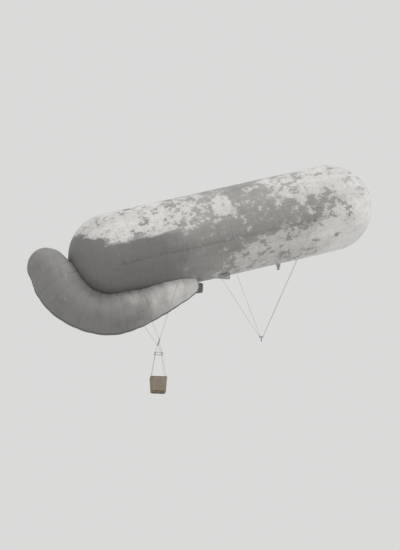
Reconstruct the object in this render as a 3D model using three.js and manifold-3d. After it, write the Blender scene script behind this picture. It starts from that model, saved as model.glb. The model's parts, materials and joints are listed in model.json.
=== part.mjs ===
// Captive kite balloon: a long gas bag with round ends that flies nose up on a tether, a
// crescent-shaped steering bag round its stern and a wicker car slung below.
// Millimetres. +X towards the nose, +Y to port, +Z up. The origin is the gas bag's centre.

import * as THREE from 'three';
import { mergeVertices } from 'three/addons/utils/BufferGeometryUtils.js';
import Module from 'manifold-3d';

const wasm = await Module();
wasm.setup();

// Gas bag
const RADIUS = 3380;
const CYLINDER = 17600;
const PITCH = THREE.MathUtils.degToRad(16);
const WALL = 10;
const GAP = 0.5;
const SIDES = 48;
const CAP_RINGS = 8;
const STERN = -CYLINDER / 2;

// Steering bag: its sections from the front tip, under the stern, to the free upper end.
// Each row holds the distance ahead of the stern's centre, the height over the axis, the radius.
const BAG_SECTIONS = [
  [5550, -3640, 660],
  [4750, -3680, 960],
  [3380, -3930, 1190],
  [1650, -4340, 1340],
  [80, -4480, 1570],
  [-1620, -4410, 1580],
  [-3170, -3530, 1640],
  [-4140, -2240, 1800],
  [-4620, -930, 1860],
  [-4990, 140, 1570],
];
const BAG_SIDES = 24;
const BAG_STEPS = 18;
const BAG_NOSE_DOME = 280;
const BAG_TAIL_DOME = 1730;
const DOME_RINGS = 4;

// Steering bag's mouth, which faces level into the wind
const MOUTH = { along: 6050, up: -4050, radius: 340, length: 1600, rootRadius: 640 };
const MOUTH_HOOP = 14;
const OPEN_CUT = 100;
const FLAP = { radius: 296, thickness: 8, setback: 24 };

// Ballonet mouth, a scoop under the belly
const SCOOP = { along: 8350, drop: 235, radius: 230, length: 1750 };

// Valve in the nose
const VALVE = { hole: 330, collar: 325, bore: 290, flange: 400, depth: 70, rim: 26, crest: 36 };
const BRIDGE = { width: 46, depth: 18, boss: 34, bossDepth: 30, sunk: 14 };
const STEM = { radius: 12, guide: 15, length: 190 };
const LID = { seatGap: 5, edge: 12, plate: 16, slope: 24, domeRadius: 150, dome: 18, crown: 24 };

// Neck for filling, tied off below
const NECK = { along: 12400, radius: 170, length: 620, root: 200, flare: 60 };

// Girdle bands that take the rigging, and the ripping panel on top
const GIRDLE = { from: -100, to: 16400, below: 30, width: 260, thickness: 12, becket: 35, proud: 18 };
const RIPPING_PANEL = { from: 10400, to: 15400, width: 520, thickness: 10 };

// Rigging: how far ahead of the stern's centre each leg leaves its girdle
const MOORING_LEGS = { fore: 15400, aft: 8100 };
const CAR_LEGS = { fore: 5300, aft: 300 };
const LEG_RADIUS = 9;
const ROPE_SIDES = 8;
const SPLICE_GAP = 3;

// Mooring ring, shackle and swivel, where the tether takes hold
const MOORING = { x: 3000, z: -8400, ring: 150, wire: 16, eyeDrop: 62 };
const EYE = { radius: 38, bore: 15, width: 26, shank: 40 };
const SHACKLE = { pin: 13.5, pinEnd: 12, cheekGap: 19, cheek: 14, width: 64, length: 190, block: 34 };
const SWIVEL = {
  stem: 15,
  stemBore: 17,
  play: 2,
  head: 26,
  headHeight: 16,
  neck: 10,
  plate: 26,
  plateRadius: 58,
  hole: 27,
};

// Car: the bar it swings on, the hoop and the wicker basket
const CAR = { x: -4850, barZ: -9150, hoopZ: -10040, rimZ: -11960 };
const BAR = { radius: 30, halfLength: 750, ball: 45 };
const SLING = { radius: 9, play: 5 };
const HOOP = { radius: 350, tube: 20 };
const BASKET = { length: 1260, width: 1050, height: 1090, wall: 26, corner: 190, taper: 0.89, floor: 32 };
const ROPE_FOOT = { inset: 80, lift: 6 };
const RIM = { inset: 6, depth: 24, roll: 18 };
const SKIDS = [-300, 0, 300];
const SKID = { length: 960, width: 60, height: 46 };

// Finishes, one object for each kind of surface
const FINISHES = {
  gasFabric: { color: 0x75736e, roughness: 0.72, metalness: 0 },
  bagFabric: { color: 0x83807a, roughness: 0.78, metalness: 0 },
  band: { color: 0x5a5853, roughness: 0.85, metalness: 0 },
  rope: { color: 0x9a8b70, roughness: 0.9, metalness: 0 },
  wood: { color: 0x6e5a41, roughness: 0.6, metalness: 0 },
  steel: { color: 0x6b6d70, roughness: 0.45, metalness: 0.9 },
  wicker: { color: 0x7d6a4c, roughness: 0.8, metalness: 0 },
  leather: { color: 0x4a382a, roughness: 0.6, metalness: 0 },
};

const balloon = new THREE.Group();
const airframe = new THREE.Group();
airframe.rotation.y = -PITCH;
airframe.updateMatrix();
balloon.add(airframe);

// A closed geometry as a solid, turned outwards where its outline ran the other way
function solid(geometry) {
  const bare = geometry.clone();
  bare.deleteAttribute('normal');
  bare.deleteAttribute('uv');
  const merged = mergeVertices(bare, 1e-3);
  const at = merged.getAttribute('position');
  const index = merged.getIndex().array;
  const triangles = [];
  let volume = 0;
  const corner = [new THREE.Vector3(), new THREE.Vector3(), new THREE.Vector3()];
  for (let i = 0; i < index.length; i += 3) {
    const [a, b, c] = [index[i], index[i + 1], index[i + 2]];
    if (a === b || b === c || c === a) {
      continue;
    }
    triangles.push(a, b, c);
    corner.forEach((point, k) => point.fromBufferAttribute(at, index[i + k]));
    volume += corner[0].dot(corner[1].cross(corner[2]));
  }
  const triVerts = Uint32Array.from(triangles);
  if (volume < 0) {
    triVerts.reverse();
  }
  const vertProperties = Float32Array.from(at.array);
  return new wasm.Manifold(new wasm.Mesh({ numProp: 3, vertProperties, triVerts }));
}

// A solid as a geometry that a mesh can carry
function surface(body) {
  const mesh = body.getMesh();
  const geometry = new THREE.BufferGeometry();
  geometry.setAttribute('position', new THREE.BufferAttribute(mesh.vertProperties, 3));
  geometry.setIndex(new THREE.BufferAttribute(mesh.triVerts, 1));
  geometry.computeVertexNormals();
  return geometry;
}

function piece(parent, name, finish, body) {
  const mesh = new THREE.Mesh(surface(body), new THREE.MeshStandardMaterial(FINISHES[finish]));
  mesh.name = name;
  parent.add(mesh);
  return mesh;
}

// Turned shapes: rows of [radius, height] turned about +Z
function turned(rows, sides = SIDES) {
  const profile = rows.map(([radius, height]) => new THREE.Vector2(radius, height));
  return new THREE.LatheGeometry(profile, sides).rotateX(Math.PI / 2);
}

function rod(radius, length, sides = 20, endRadius = radius) {
  return new THREE.CylinderGeometry(endRadius, radius, length, sides).rotateX(Math.PI / 2);
}

function ring(radius, tube, sides = 28) {
  return new THREE.TorusGeometry(radius, tube, 8, sides);
}

function block(x, y, z) {
  return new THREE.BoxGeometry(x, y, z);
}

function capsule(radius) {
  const geometry = new THREE.CapsuleGeometry(radius, CYLINDER, CAP_RINGS, SIDES, 1);
  return geometry.rotateZ(-Math.PI / 2);
}

// The place of a point of the pitched gas bag, given ahead of the stern's centre and over the axis
function aloft(along, up) {
  return new THREE.Vector3(STERN + along, 0, up).applyMatrix4(airframe.matrix);
}

// A hose of changing radius: a curve carries the sections, and a dome closes each end
function hose(sections, inset) {
  const stations = sections.map(([along, up, radius]) => new THREE.Vector3(STERN + along, radius, up));
  const spine = new THREE.CatmullRomCurve3(stations, false, 'catmullrom', 0.5);
  const rings = [];
  const addRing = (point, heading, radius) => rings.push({ point, heading, radius });
  const addDome = (at, sign, length) => {
    const station = spine.getPoint(at);
    const heading = spine.getTangent(at).setY(0).normalize();
    const point = station.clone().setY(0);
    const radius = station.y - inset;
    for (let i = 1; i <= DOME_RINGS; i++) {
      const turn = (i / DOME_RINGS) * Math.PI / 2;
      const reach = sign * (length - inset) * Math.sin(turn);
      addRing(point.clone().addScaledVector(heading, reach), heading, radius * Math.cos(turn));
    }
  };
  addDome(0, -1, BAG_NOSE_DOME);
  rings.reverse();
  for (let i = 0; i <= BAG_STEPS; i++) {
    const at = i / BAG_STEPS;
    const station = spine.getPoint(at);
    const heading = spine.getTangent(at).setY(0).normalize();
    addRing(station.clone().setY(0), heading, station.y - inset);
  }
  addDome(1, 1, BAG_TAIL_DOME);

  const positions = [];
  for (const { point, heading, radius } of rings) {
    for (let k = 0; k < BAG_SIDES; k++) {
      const turn = (k / BAG_SIDES) * Math.PI * 2;
      const out = radius * Math.cos(turn);
      positions.push(point.x - heading.z * out, radius * Math.sin(turn), point.z + heading.x * out);
    }
  }
  const index = [];
  for (let i = 0; i + 1 < rings.length; i++) {
    for (let k = 0; k < BAG_SIDES; k++) {
      const next = (k + 1) % BAG_SIDES;
      const [a, b] = [i * BAG_SIDES + k, i * BAG_SIDES + next];
      const [c, d] = [a + BAG_SIDES, b + BAG_SIDES];
      index.push(a, b, d, a, d, c);
    }
  }
  const geometry = new THREE.BufferGeometry();
  geometry.setAttribute('position', new THREE.Float32BufferAttribute(positions, 3));
  geometry.setIndex(index);
  return geometry;
}

// Rods along the wind: +Z of the rod turned towards +X, its front end at the given point
function windRod(front, length, radius, rearRadius = radius) {
  const geometry = rod(rearRadius, length, 32, radius).rotateY(Math.PI / 2);
  return geometry.translate(front.x - length / 2, front.y, front.z);
}

// The cut that opens such a rod's front end
function openFront(front, radius) {
  return solid(pitched(windRod(front.clone().setX(front.x + OPEN_CUT / 2), OPEN_CUT, radius)));
}

// The same solid seen from the pitched frame
function pitched(geometry) {
  return geometry.applyMatrix4(airframe.matrix.clone().invert());
}

// Gas bag
const overSkin = solid(capsule(RADIUS + GAP));
const scoopFront = aloft(SCOOP.along, -RADIUS - SCOOP.drop);
const scoopBore = solid(pitched(windRod(scoopFront, SCOOP.length + WALL, SCOOP.radius - WALL)));
const noseTip = CYLINDER / 2 + RADIUS;
const valveHole = rod(VALVE.hole, RADIUS / 4, SIDES).rotateY(Math.PI / 2).translate(noseTip, 0, 0);
const envelope = solid(capsule(RADIUS))
  .subtract(solid(capsule(RADIUS - WALL)))
  .subtract(solid(valveHole))
  .subtract(scoopBore);
piece(airframe, 'envelope', 'gasFabric', envelope);

// Steering bag: an open shell whose roof is the gas bag itself
const mouthFront = aloft(MOUTH.along, MOUTH.up);
function bagShape(inset) {
  const snout = windRod(mouthFront, MOUTH.length, MOUTH.radius - inset, MOUTH.rootRadius - inset);
  return solid(hose(BAG_SECTIONS, inset)).add(solid(pitched(snout)));
}
const steeringBag = bagShape(0)
  .subtract(bagShape(WALL))
  .subtract(overSkin)
  .subtract(openFront(mouthFront, MOUTH.radius - WALL));
piece(airframe, 'steering_bag', 'bagFabric', steeringBag);

const mouthHoop = solid(ring(MOUTH.radius - MOUTH_HOOP / 2, MOUTH_HOOP).rotateY(Math.PI / 2));
piece(balloon, 'steering_mouth_hoop', 'wood', mouthHoop).position.set(
  mouthFront.x + MOUTH_HOOP + GAP,
  0,
  mouthFront.z,
);

const flap = solid(rod(FLAP.radius, FLAP.thickness, 32).rotateY(Math.PI / 2));
piece(balloon, 'steering_mouth_flap', 'band', flap).position.set(
  mouthFront.x - FLAP.setback,
  0,
  mouthFront.z,
);

// Ballonet mouth
const scoopTube = solid(pitched(windRod(scoopFront, SCOOP.length, SCOOP.radius)));
const scoop = scoopTube
  .subtract(scoopBore)
  .subtract(overSkin)
  .subtract(openFront(scoopFront, SCOOP.radius - WALL));
piece(airframe, 'ballonet_mouth', 'gasFabric', scoop);

const scoopHoop = solid(ring(SCOOP.radius - MOUTH_HOOP / 2, MOUTH_HOOP).rotateY(Math.PI / 2));
piece(balloon, 'ballonet_mouth_hoop', 'wood', scoopHoop).position.set(
  scoopFront.x + MOUTH_HOOP + GAP,
  0,
  scoopFront.z,
);

// Nose valve: the cap's first ring of facets slopes back by this much for each millimetre out
const NOSE_SLOPE = Math.tan(Math.PI / 4 / CAP_RINGS);
const skinAt = (radius) => -radius * NOSE_SLOPE + GAP;
const valveRing = turned([
  [VALVE.bore, -VALVE.depth],
  [VALVE.collar, -VALVE.depth],
  [VALVE.collar, skinAt(VALVE.collar)],
  [VALVE.flange, skinAt(VALVE.flange)],
  [VALVE.flange, skinAt(VALVE.flange) + VALVE.rim],
  [VALVE.bore + WALL, skinAt(VALVE.bore) + VALVE.crest],
  [VALVE.bore, skinAt(VALVE.bore) + VALVE.rim],
  [VALVE.bore, -VALVE.depth],
]);
const bridge = solid(block(VALVE.bore + VALVE.collar, BRIDGE.width, BRIDGE.depth))
  .add(solid(rod(BRIDGE.boss, BRIDGE.bossDepth)))
  .subtract(solid(rod(STEM.guide, 2 * BRIDGE.bossDepth)))
  .translate(0, 0, -BRIDGE.sunk);
const valve = solid(valveRing).add(bridge);
const atNose = (mesh) => {
  mesh.rotation.y = Math.PI / 2;
  mesh.position.x = noseTip;
};
atNose(piece(airframe, 'nose_valve_ring', 'wood', valve));

const lidTop = -VALVE.depth - LID.seatGap;
const lid = solid(turned([
  [0, lidTop + LID.crown],
  [LID.domeRadius, lidTop + LID.dome],
  [VALVE.bore - LID.slope, lidTop],
  [VALVE.collar - LID.edge, lidTop],
  [VALVE.collar - LID.edge, lidTop - LID.plate],
  [0, lidTop - LID.plate],
])).add(solid(rod(STEM.radius, STEM.length).translate(0, 0, lidTop + STEM.length / 2)));
atNose(piece(airframe, 'nose_valve_lid', 'steel', lid));

// Filling neck, tied off and hanging under the belly
const neckTop = aloft(NECK.along, -RADIUS);
const neckShape = turned([
  [0, NECK.root],
  [NECK.radius + NECK.flare, NECK.root],
  [NECK.radius + NECK.flare, -NECK.flare / 2],
  [NECK.radius, -NECK.length * 0.15],
  [NECK.radius * 0.92, -NECK.length * 0.6],
  [NECK.radius * 0.3, -NECK.length * 0.8],
  [NECK.radius * 0.6, -NECK.length],
  [0, -NECK.length],
], 24);
const neckSolid = solid(pitched(neckShape.translate(neckTop.x, 0, neckTop.z))).subtract(overSkin);
piece(airframe, 'filling_neck', 'gasFabric', neckSolid);

// Bands laid on the gas bag, cut from a thicker one; the angle is measured up from +Y
function strip({ from, to, width, thickness }, angle) {
  const length = to - from;
  const cut = block(length, RADIUS / 4, width).translate(STERN + from + length / 2, RADIUS, 0);
  return solid(capsule(RADIUS + thickness)).intersect(solid(cut.rotateX(angle)));
}
const rippingPanel = strip(RIPPING_PANEL, Math.PI / 2).subtract(overSkin);
piece(airframe, 'ripping_panel', 'band', rippingPanel);

const girdleAngle = THREE.MathUtils.degToRad(-GIRDLE.below);
const becketReach = RADIUS + GIRDLE.thickness + GIRDLE.proud;
const SHIP_SIDES = [
  { side: 'port', sign: 1 },
  { side: 'starboard', sign: -1 },
];
const ALL_LEGS = [...Object.values(MOORING_LEGS), ...Object.values(CAR_LEGS)];
function becketSpot(along, sign) {
  const side = sign * becketReach * Math.cos(girdleAngle);
  return new THREE.Vector3(STERN + along, side, becketReach * Math.sin(girdleAngle));
}
for (const { side, sign } of SHIP_SIDES) {
  let girdle = strip(GIRDLE, sign > 0 ? girdleAngle : Math.PI - girdleAngle);
  for (const along of ALL_LEGS) {
    const spot = becketSpot(along, sign);
    const becket = new THREE.SphereGeometry(GIRDLE.becket, 10, 6).translate(spot.x, spot.y, spot.z);
    girdle = girdle.add(solid(becket));
  }
  piece(airframe, `girdle_${side}`, 'band', girdle.subtract(overSkin));
}

// Taut legs from the girdles, each trimmed to stop just short of what it meets
function leg(name, from, to, trimFrom, trimTo) {
  const run = to.clone().sub(from);
  const length = run.length() - trimFrom - trimTo;
  const heading = run.normalize();
  const mesh = piece(balloon, name, 'rope', solid(rod(LEG_RADIUS, length, ROPE_SIDES)));
  mesh.quaternion.setFromUnitVectors(new THREE.Vector3(0, 0, 1), heading);
  mesh.position.copy(from).addScaledVector(heading, trimFrom + length / 2);
}

const mooringCentre = new THREE.Vector3(MOORING.x, 0, MOORING.z);
for (const { side, sign } of SHIP_SIDES) {
  for (const [end, along] of Object.entries(MOORING_LEGS)) {
    const spot = becketSpot(along, sign).applyMatrix4(airframe.matrix);
    const outward = spot.clone().sub(mooringCentre).setZ(0).setLength(MOORING.ring);
    const target = mooringCentre.clone().add(outward);
    leg(`mooring_leg_${end}_${side}`, spot, target, GIRDLE.becket + GAP, MOORING.wire + SPLICE_GAP);
  }
  for (const [end, along] of Object.entries(CAR_LEGS)) {
    const spot = becketSpot(along, sign).applyMatrix4(airframe.matrix);
    const target = new THREE.Vector3(CAR.x, sign * BAR.halfLength, CAR.barZ);
    leg(`car_leg_${end}_${side}`, spot, target, GIRDLE.becket + GAP, BAR.ball + GAP);
  }
}

// Mooring ring with the eye that the shackle hangs in
const across = (geometry) => geometry.rotateX(Math.PI / 2);
const mooringRing = solid(ring(MOORING.ring, MOORING.wire))
  .add(solid(across(rod(MOORING.wire * 0.8, 2 * MOORING.ring, 12))))
  .add(solid(block(EYE.shank, EYE.width, MOORING.eyeDrop).translate(0, 0, -MOORING.eyeDrop / 2)))
  .add(solid(across(rod(EYE.radius, EYE.width)).translate(0, 0, -MOORING.eyeDrop)))
  .subtract(solid(across(rod(EYE.bore, 2 * EYE.width)).translate(0, 0, -MOORING.eyeDrop)));
piece(balloon, 'mooring_ring', 'steel', mooringRing).position.copy(mooringCentre);

// Shackle: two cheeks on a pin through the eye, joined by the block that holds the swivel
const cheekY = EYE.width / 2 + SHACKLE.cheekGap + SHACKLE.cheek / 2;
const blockWidth = 2 * cheekY + SHACKLE.cheek;
let shackle = solid(across(rod(SHACKLE.pin, blockWidth + 2 * SHACKLE.pinEnd, 16)));
for (const sign of [1, -1]) {
  const cheek = block(SHACKLE.width, SHACKLE.cheek, SHACKLE.length);
  shackle = shackle
    .add(solid(cheek.translate(0, sign * cheekY, -SHACKLE.length / 2)))
    .add(solid(across(rod(SHACKLE.width / 2, SHACKLE.cheek)).translate(0, sign * cheekY, 0)));
}
const blockTop = -SHACKLE.length + SHACKLE.block;
shackle = shackle
  .add(solid(block(SHACKLE.width, blockWidth, SHACKLE.block).translate(0, 0, blockTop - SHACKLE.block / 2)))
  .subtract(solid(rod(SWIVEL.stemBore, 3 * SHACKLE.block).translate(0, 0, blockTop)));
const shacklePlace = mooringCentre.clone().setZ(MOORING.z - MOORING.eyeDrop);
piece(balloon, 'tether_shackle', 'steel', shackle).position.copy(shacklePlace);

// Swivel: a headed stem through the block, and the flat eye for the tether
const headBottom = blockTop + SWIVEL.play;
const plateZ = blockTop - SHACKLE.block - SWIVEL.neck - SWIVEL.plateRadius;
const stemLength = headBottom - plateZ - SWIVEL.hole - SWIVEL.neck;
const swivel = solid(rod(SWIVEL.head, SWIVEL.headHeight).translate(0, 0, headBottom + SWIVEL.headHeight / 2))
  .add(solid(rod(SWIVEL.stem, stemLength).translate(0, 0, headBottom - stemLength / 2)))
  .add(solid(across(rod(SWIVEL.plateRadius, SWIVEL.plate, 32)).translate(0, 0, plateZ)))
  .subtract(solid(across(rod(SWIVEL.hole, 2 * SWIVEL.plate)).translate(0, 0, plateZ)));
piece(balloon, 'tether_swivel', 'steel', swivel).position.copy(shacklePlace);

// Bar that the car swings on
const bar = solid(across(rod(BAR.radius, 2 * BAR.halfLength)))
  .add(solid(new THREE.SphereGeometry(BAR.ball, 14, 8).translate(0, BAR.halfLength, 0)))
  .add(solid(new THREE.SphereGeometry(BAR.ball, 14, 8).translate(0, -BAR.halfLength, 0)));
piece(balloon, 'car_bar', 'wood', bar).position.set(CAR.x, 0, CAR.barZ);

// Car: everything from the slings down swings about the bar
const car = new THREE.Group();
car.position.set(CAR.x, 0, CAR.barZ);
balloon.add(car);
const hoopDrop = CAR.hoopZ - CAR.barZ;
const rimDrop = CAR.rimZ - CAR.barZ;

function line(from, to, radius) {
  const run = to.clone().sub(from);
  const middle = from.clone().add(to).multiplyScalar(0.5);
  const turn = new THREE.Quaternion().setFromUnitVectors(new THREE.Vector3(0, 0, 1), run.clone().normalize());
  const geometry = rod(radius, run.length(), ROPE_SIDES).applyQuaternion(turn);
  return geometry.translate(middle.x, middle.y, middle.z);
}

const hoopCorner = HOOP.radius * Math.SQRT1_2;
const eyeRadius = BAR.radius + SLING.play + SLING.radius;
for (const { side, sign } of SHIP_SIDES) {
  const y = sign * hoopCorner;
  let sling = solid(across(ring(eyeRadius, SLING.radius, 24)).translate(0, y, 0));
  for (const end of [1, -1]) {
    const heading = new THREE.Vector3(end * hoopCorner, 0, hoopDrop).normalize();
    const start = heading.clone().multiplyScalar(eyeRadius).setY(y);
    const stop = new THREE.Vector3(end * hoopCorner, y, hoopDrop);
    stop.addScaledVector(heading, -(HOOP.tube + SPLICE_GAP));
    sling = sling.add(solid(line(start, stop, SLING.radius)));
  }
  piece(car, `car_sling_${side}`, 'rope', sling);
}

const hoop = solid(ring(HOOP.radius, HOOP.tube));
piece(car, 'car_hoop', 'wood', hoop).position.z = hoopDrop;

const ropeFoot = { x: BASKET.length / 2 - ROPE_FOOT.inset, y: BASKET.width / 2 - ROPE_FOOT.inset };
for (const { side, sign } of SHIP_SIDES) {
  for (const { end, ahead } of [{ end: 'fore', ahead: 1 }, { end: 'aft', ahead: -1 }]) {
    const top = new THREE.Vector3(ahead * hoopCorner, sign * hoopCorner, hoopDrop);
    const foot = new THREE.Vector3(ahead * ropeFoot.x, sign * ropeFoot.y, rimDrop);
    const heading = foot.clone().sub(top).normalize();
    top.addScaledVector(heading, HOOP.tube + SPLICE_GAP);
    foot.addScaledVector(heading, -ROPE_FOOT.lift);
    piece(car, `basket_rope_${end}_${side}`, 'rope', solid(line(top, foot, LEG_RADIUS)));
  }
}

// Basket outline at the rim, and walls that draw in towards the floor
function outline(inset) {
  const [x, y] = [BASKET.length / 2 - inset, BASKET.width / 2 - inset];
  const corner = BASKET.corner - inset;
  const shape = new THREE.Shape();
  shape.moveTo(-x + corner, -y);
  shape.lineTo(x - corner, -y);
  shape.absarc(x - corner, -y + corner, corner, -Math.PI / 2, 0);
  shape.lineTo(x, y - corner);
  shape.absarc(x - corner, y - corner, corner, 0, Math.PI / 2);
  shape.lineTo(-x + corner, y);
  shape.absarc(-x + corner, y - corner, corner, Math.PI / 2, Math.PI);
  shape.lineTo(-x, -y + corner);
  shape.absarc(-x + corner, -y + corner, corner, Math.PI, Math.PI * 1.5);
  return shape;
}

function tapered(inset, top, height) {
  const depth = { depth: height, bevelEnabled: false, curveSegments: 5 };
  const geometry = new THREE.ExtrudeGeometry(outline(inset), depth).translate(0, 0, top - height);
  const at = geometry.getAttribute('position');
  for (let i = 0; i < at.count; i++) {
    const fall = (rimDrop - at.getZ(i)) / BASKET.height;
    const scale = 1 + (BASKET.taper - 1) * fall;
    at.setXY(i, at.getX(i) * scale, at.getY(i) * scale);
  }
  return solid(geometry);
}

const rimHeight = RIM.depth + 2 * RIM.roll;
const wallTop = rimDrop - rimHeight - GAP;
const wallHeight = BASKET.height - rimHeight;
const basketInside = tapered(BASKET.wall, wallTop + WALL, wallHeight + 2 * WALL);
piece(car, 'basket_walls', 'wicker', tapered(0, wallTop, wallHeight).subtract(basketInside));

const floorTop = wallTop - wallHeight + BASKET.floor;
piece(car, 'basket_floor', 'wicker', tapered(BASKET.wall + 1, floorTop, BASKET.floor));

const rimShape = outline(RIM.roll - RIM.inset);
rimShape.holes.push(outline(BASKET.wall + RIM.inset));
const rimRoll = {
  depth: RIM.depth,
  bevelThickness: RIM.roll,
  bevelSize: RIM.roll,
  bevelSegments: 2,
  curveSegments: 4,
};
const rimGeometry = new THREE.ExtrudeGeometry(rimShape, rimRoll);
const rim = solid(rimGeometry.translate(0, 0, rimDrop - RIM.depth - RIM.roll));
piece(car, 'basket_rim', 'leather', rim);

const skidTop = wallTop - wallHeight - GAP;
SKIDS.forEach((y, i) => {
  const skid = solid(block(SKID.length, SKID.width, SKID.height));
  piece(car, `basket_skid_${i + 1}`, 'wood', skid).position.set(0, y, skidTop - SKID.height / 2);
});

export default balloon;
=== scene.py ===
"""Looks of a captive kite balloon: proofed fabric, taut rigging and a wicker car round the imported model.

Metres. +X towards the nose, +Y to port, +Z up, origin at the gas bag's centre.
"""

from __future__ import annotations

import json
import logging
import math
from collections.abc import Callable, Sequence
from dataclasses import dataclass
from enum import Enum
from functools import cached_property

import bmesh
import bpy
import numpy as np
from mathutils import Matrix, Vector

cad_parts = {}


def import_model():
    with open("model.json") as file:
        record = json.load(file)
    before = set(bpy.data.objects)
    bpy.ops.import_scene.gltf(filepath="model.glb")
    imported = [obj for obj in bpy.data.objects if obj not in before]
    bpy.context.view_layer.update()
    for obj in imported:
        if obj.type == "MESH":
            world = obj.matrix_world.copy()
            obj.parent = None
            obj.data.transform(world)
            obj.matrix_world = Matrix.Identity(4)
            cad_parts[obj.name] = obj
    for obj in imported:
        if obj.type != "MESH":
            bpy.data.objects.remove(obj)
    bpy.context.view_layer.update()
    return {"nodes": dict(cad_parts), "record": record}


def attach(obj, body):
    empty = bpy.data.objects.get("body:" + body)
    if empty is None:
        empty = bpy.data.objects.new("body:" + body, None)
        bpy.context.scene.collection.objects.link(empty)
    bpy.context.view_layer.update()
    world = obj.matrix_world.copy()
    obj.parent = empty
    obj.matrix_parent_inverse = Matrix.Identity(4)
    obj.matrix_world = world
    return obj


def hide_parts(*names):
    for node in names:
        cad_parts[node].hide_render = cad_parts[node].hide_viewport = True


LOG = logging.getLogger("kite_balloon")

Array = np.ndarray
Material = bpy.types.Material
Colour = tuple[float, float, float]
Pair = tuple[float, float]
Row = tuple[float, ...]
Point = Sequence[float]

PITCH = math.radians(16.0)
AXIS = np.array([math.cos(PITCH), 0.0, math.sin(PITCH)])
UPRIGHT = np.array([-math.sin(PITCH), 0.0, math.cos(PITCH)])
PORT = np.array([0.0, 1.0, 0.0])
UP = (0.0, 0.0, 1.0)
AHEAD = (1.0, 0.0, 0.0)
LAY = "lay"

# Sizes that several pieces share; a leg's place is its distance ahead of the stern hemisphere's centre
GAS_BAG_RADIUS = 3.38
LEGS = {"mooring_leg_fore": 15.4, "mooring_leg_aft": 8.1, "car_leg_fore": 5.3, "car_leg_aft": 0.3}
WEB_WIDTH = 0.26
KEEL_WIDTH = 0.42
EDGING_WIDTH = 0.07
STEERING_PANEL = 0.92
STEERING_HALF_GIRTH = 2.6

# Laid rope: strands, depth of the grooves as a share of the radius, length of one turn
STRANDS = 3
GROOVE = 0.22
STRAND_PITCH = 0.11
ROPE_SIDES = 9


class Side(Enum):
    """Which side of the balloon a piece is on, seen by someone who faces the nose."""

    PORT = 1
    STARBOARD = -1

    @property
    def word(self) -> str:
        """The side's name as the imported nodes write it."""
        return self.name.lower()


# Shader trees


class Sock:
    """A socket of a shader tree that can stand in sums, products and comparisons."""

    def __init__(self, tree: Tree, socket: bpy.types.NodeSocket) -> None:
        """Wraps an output socket of a tree."""
        self.tree = tree
        self.socket = socket

    def _maths(self, operation: str, first: Sock | float, second: Sock | float) -> Sock:
        """The value of a new Math node with this operation on the two values."""
        return self.tree.node("ShaderNodeMath", {"operation": operation}, {0: first, 1: second})

    def __add__(self, other: Sock | float) -> Sock:
        """This plus other."""
        return self._maths("ADD", self, other)

    def __radd__(self, other: float) -> Sock:
        """Other plus this."""
        return self._maths("ADD", other, self)

    def __sub__(self, other: Sock | float) -> Sock:
        """This minus other."""
        return self._maths("SUBTRACT", self, other)

    def __rsub__(self, other: float) -> Sock:
        """Other minus this."""
        return self._maths("SUBTRACT", other, self)

    def __mul__(self, other: Sock | float) -> Sock:
        """This times other."""
        return self._maths("MULTIPLY", self, other)

    def __rmul__(self, other: float) -> Sock:
        """Other times this."""
        return self._maths("MULTIPLY", other, self)

    def __truediv__(self, other: Sock | float) -> Sock:
        """This over other."""
        return self._maths("DIVIDE", self, other)

    def __abs__(self) -> Sock:
        """This without its sign."""
        return self._maths("ABSOLUTE", self, 0.0)

    def larger(self, other: Sock | float) -> Sock:
        """The larger of this and other."""
        return self._maths("MAXIMUM", self, other)

    def smaller(self, other: Sock | float) -> Sock:
        """The smaller of this and other."""
        return self._maths("MINIMUM", self, other)

    def sine(self) -> Sock:
        """The sine of this, in radians."""
        return self._maths("SINE", self, 0.0)

    def step(self, low: float, high: float) -> Sock:
        """A smooth step from 0 where this is low to 1 where it is high."""
        ends = {"Value": self, "From Min": low, "From Max": high}
        return self.tree.node("ShaderNodeMapRange", {"interpolation_type": "SMOOTHSTEP"}, ends)


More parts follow.
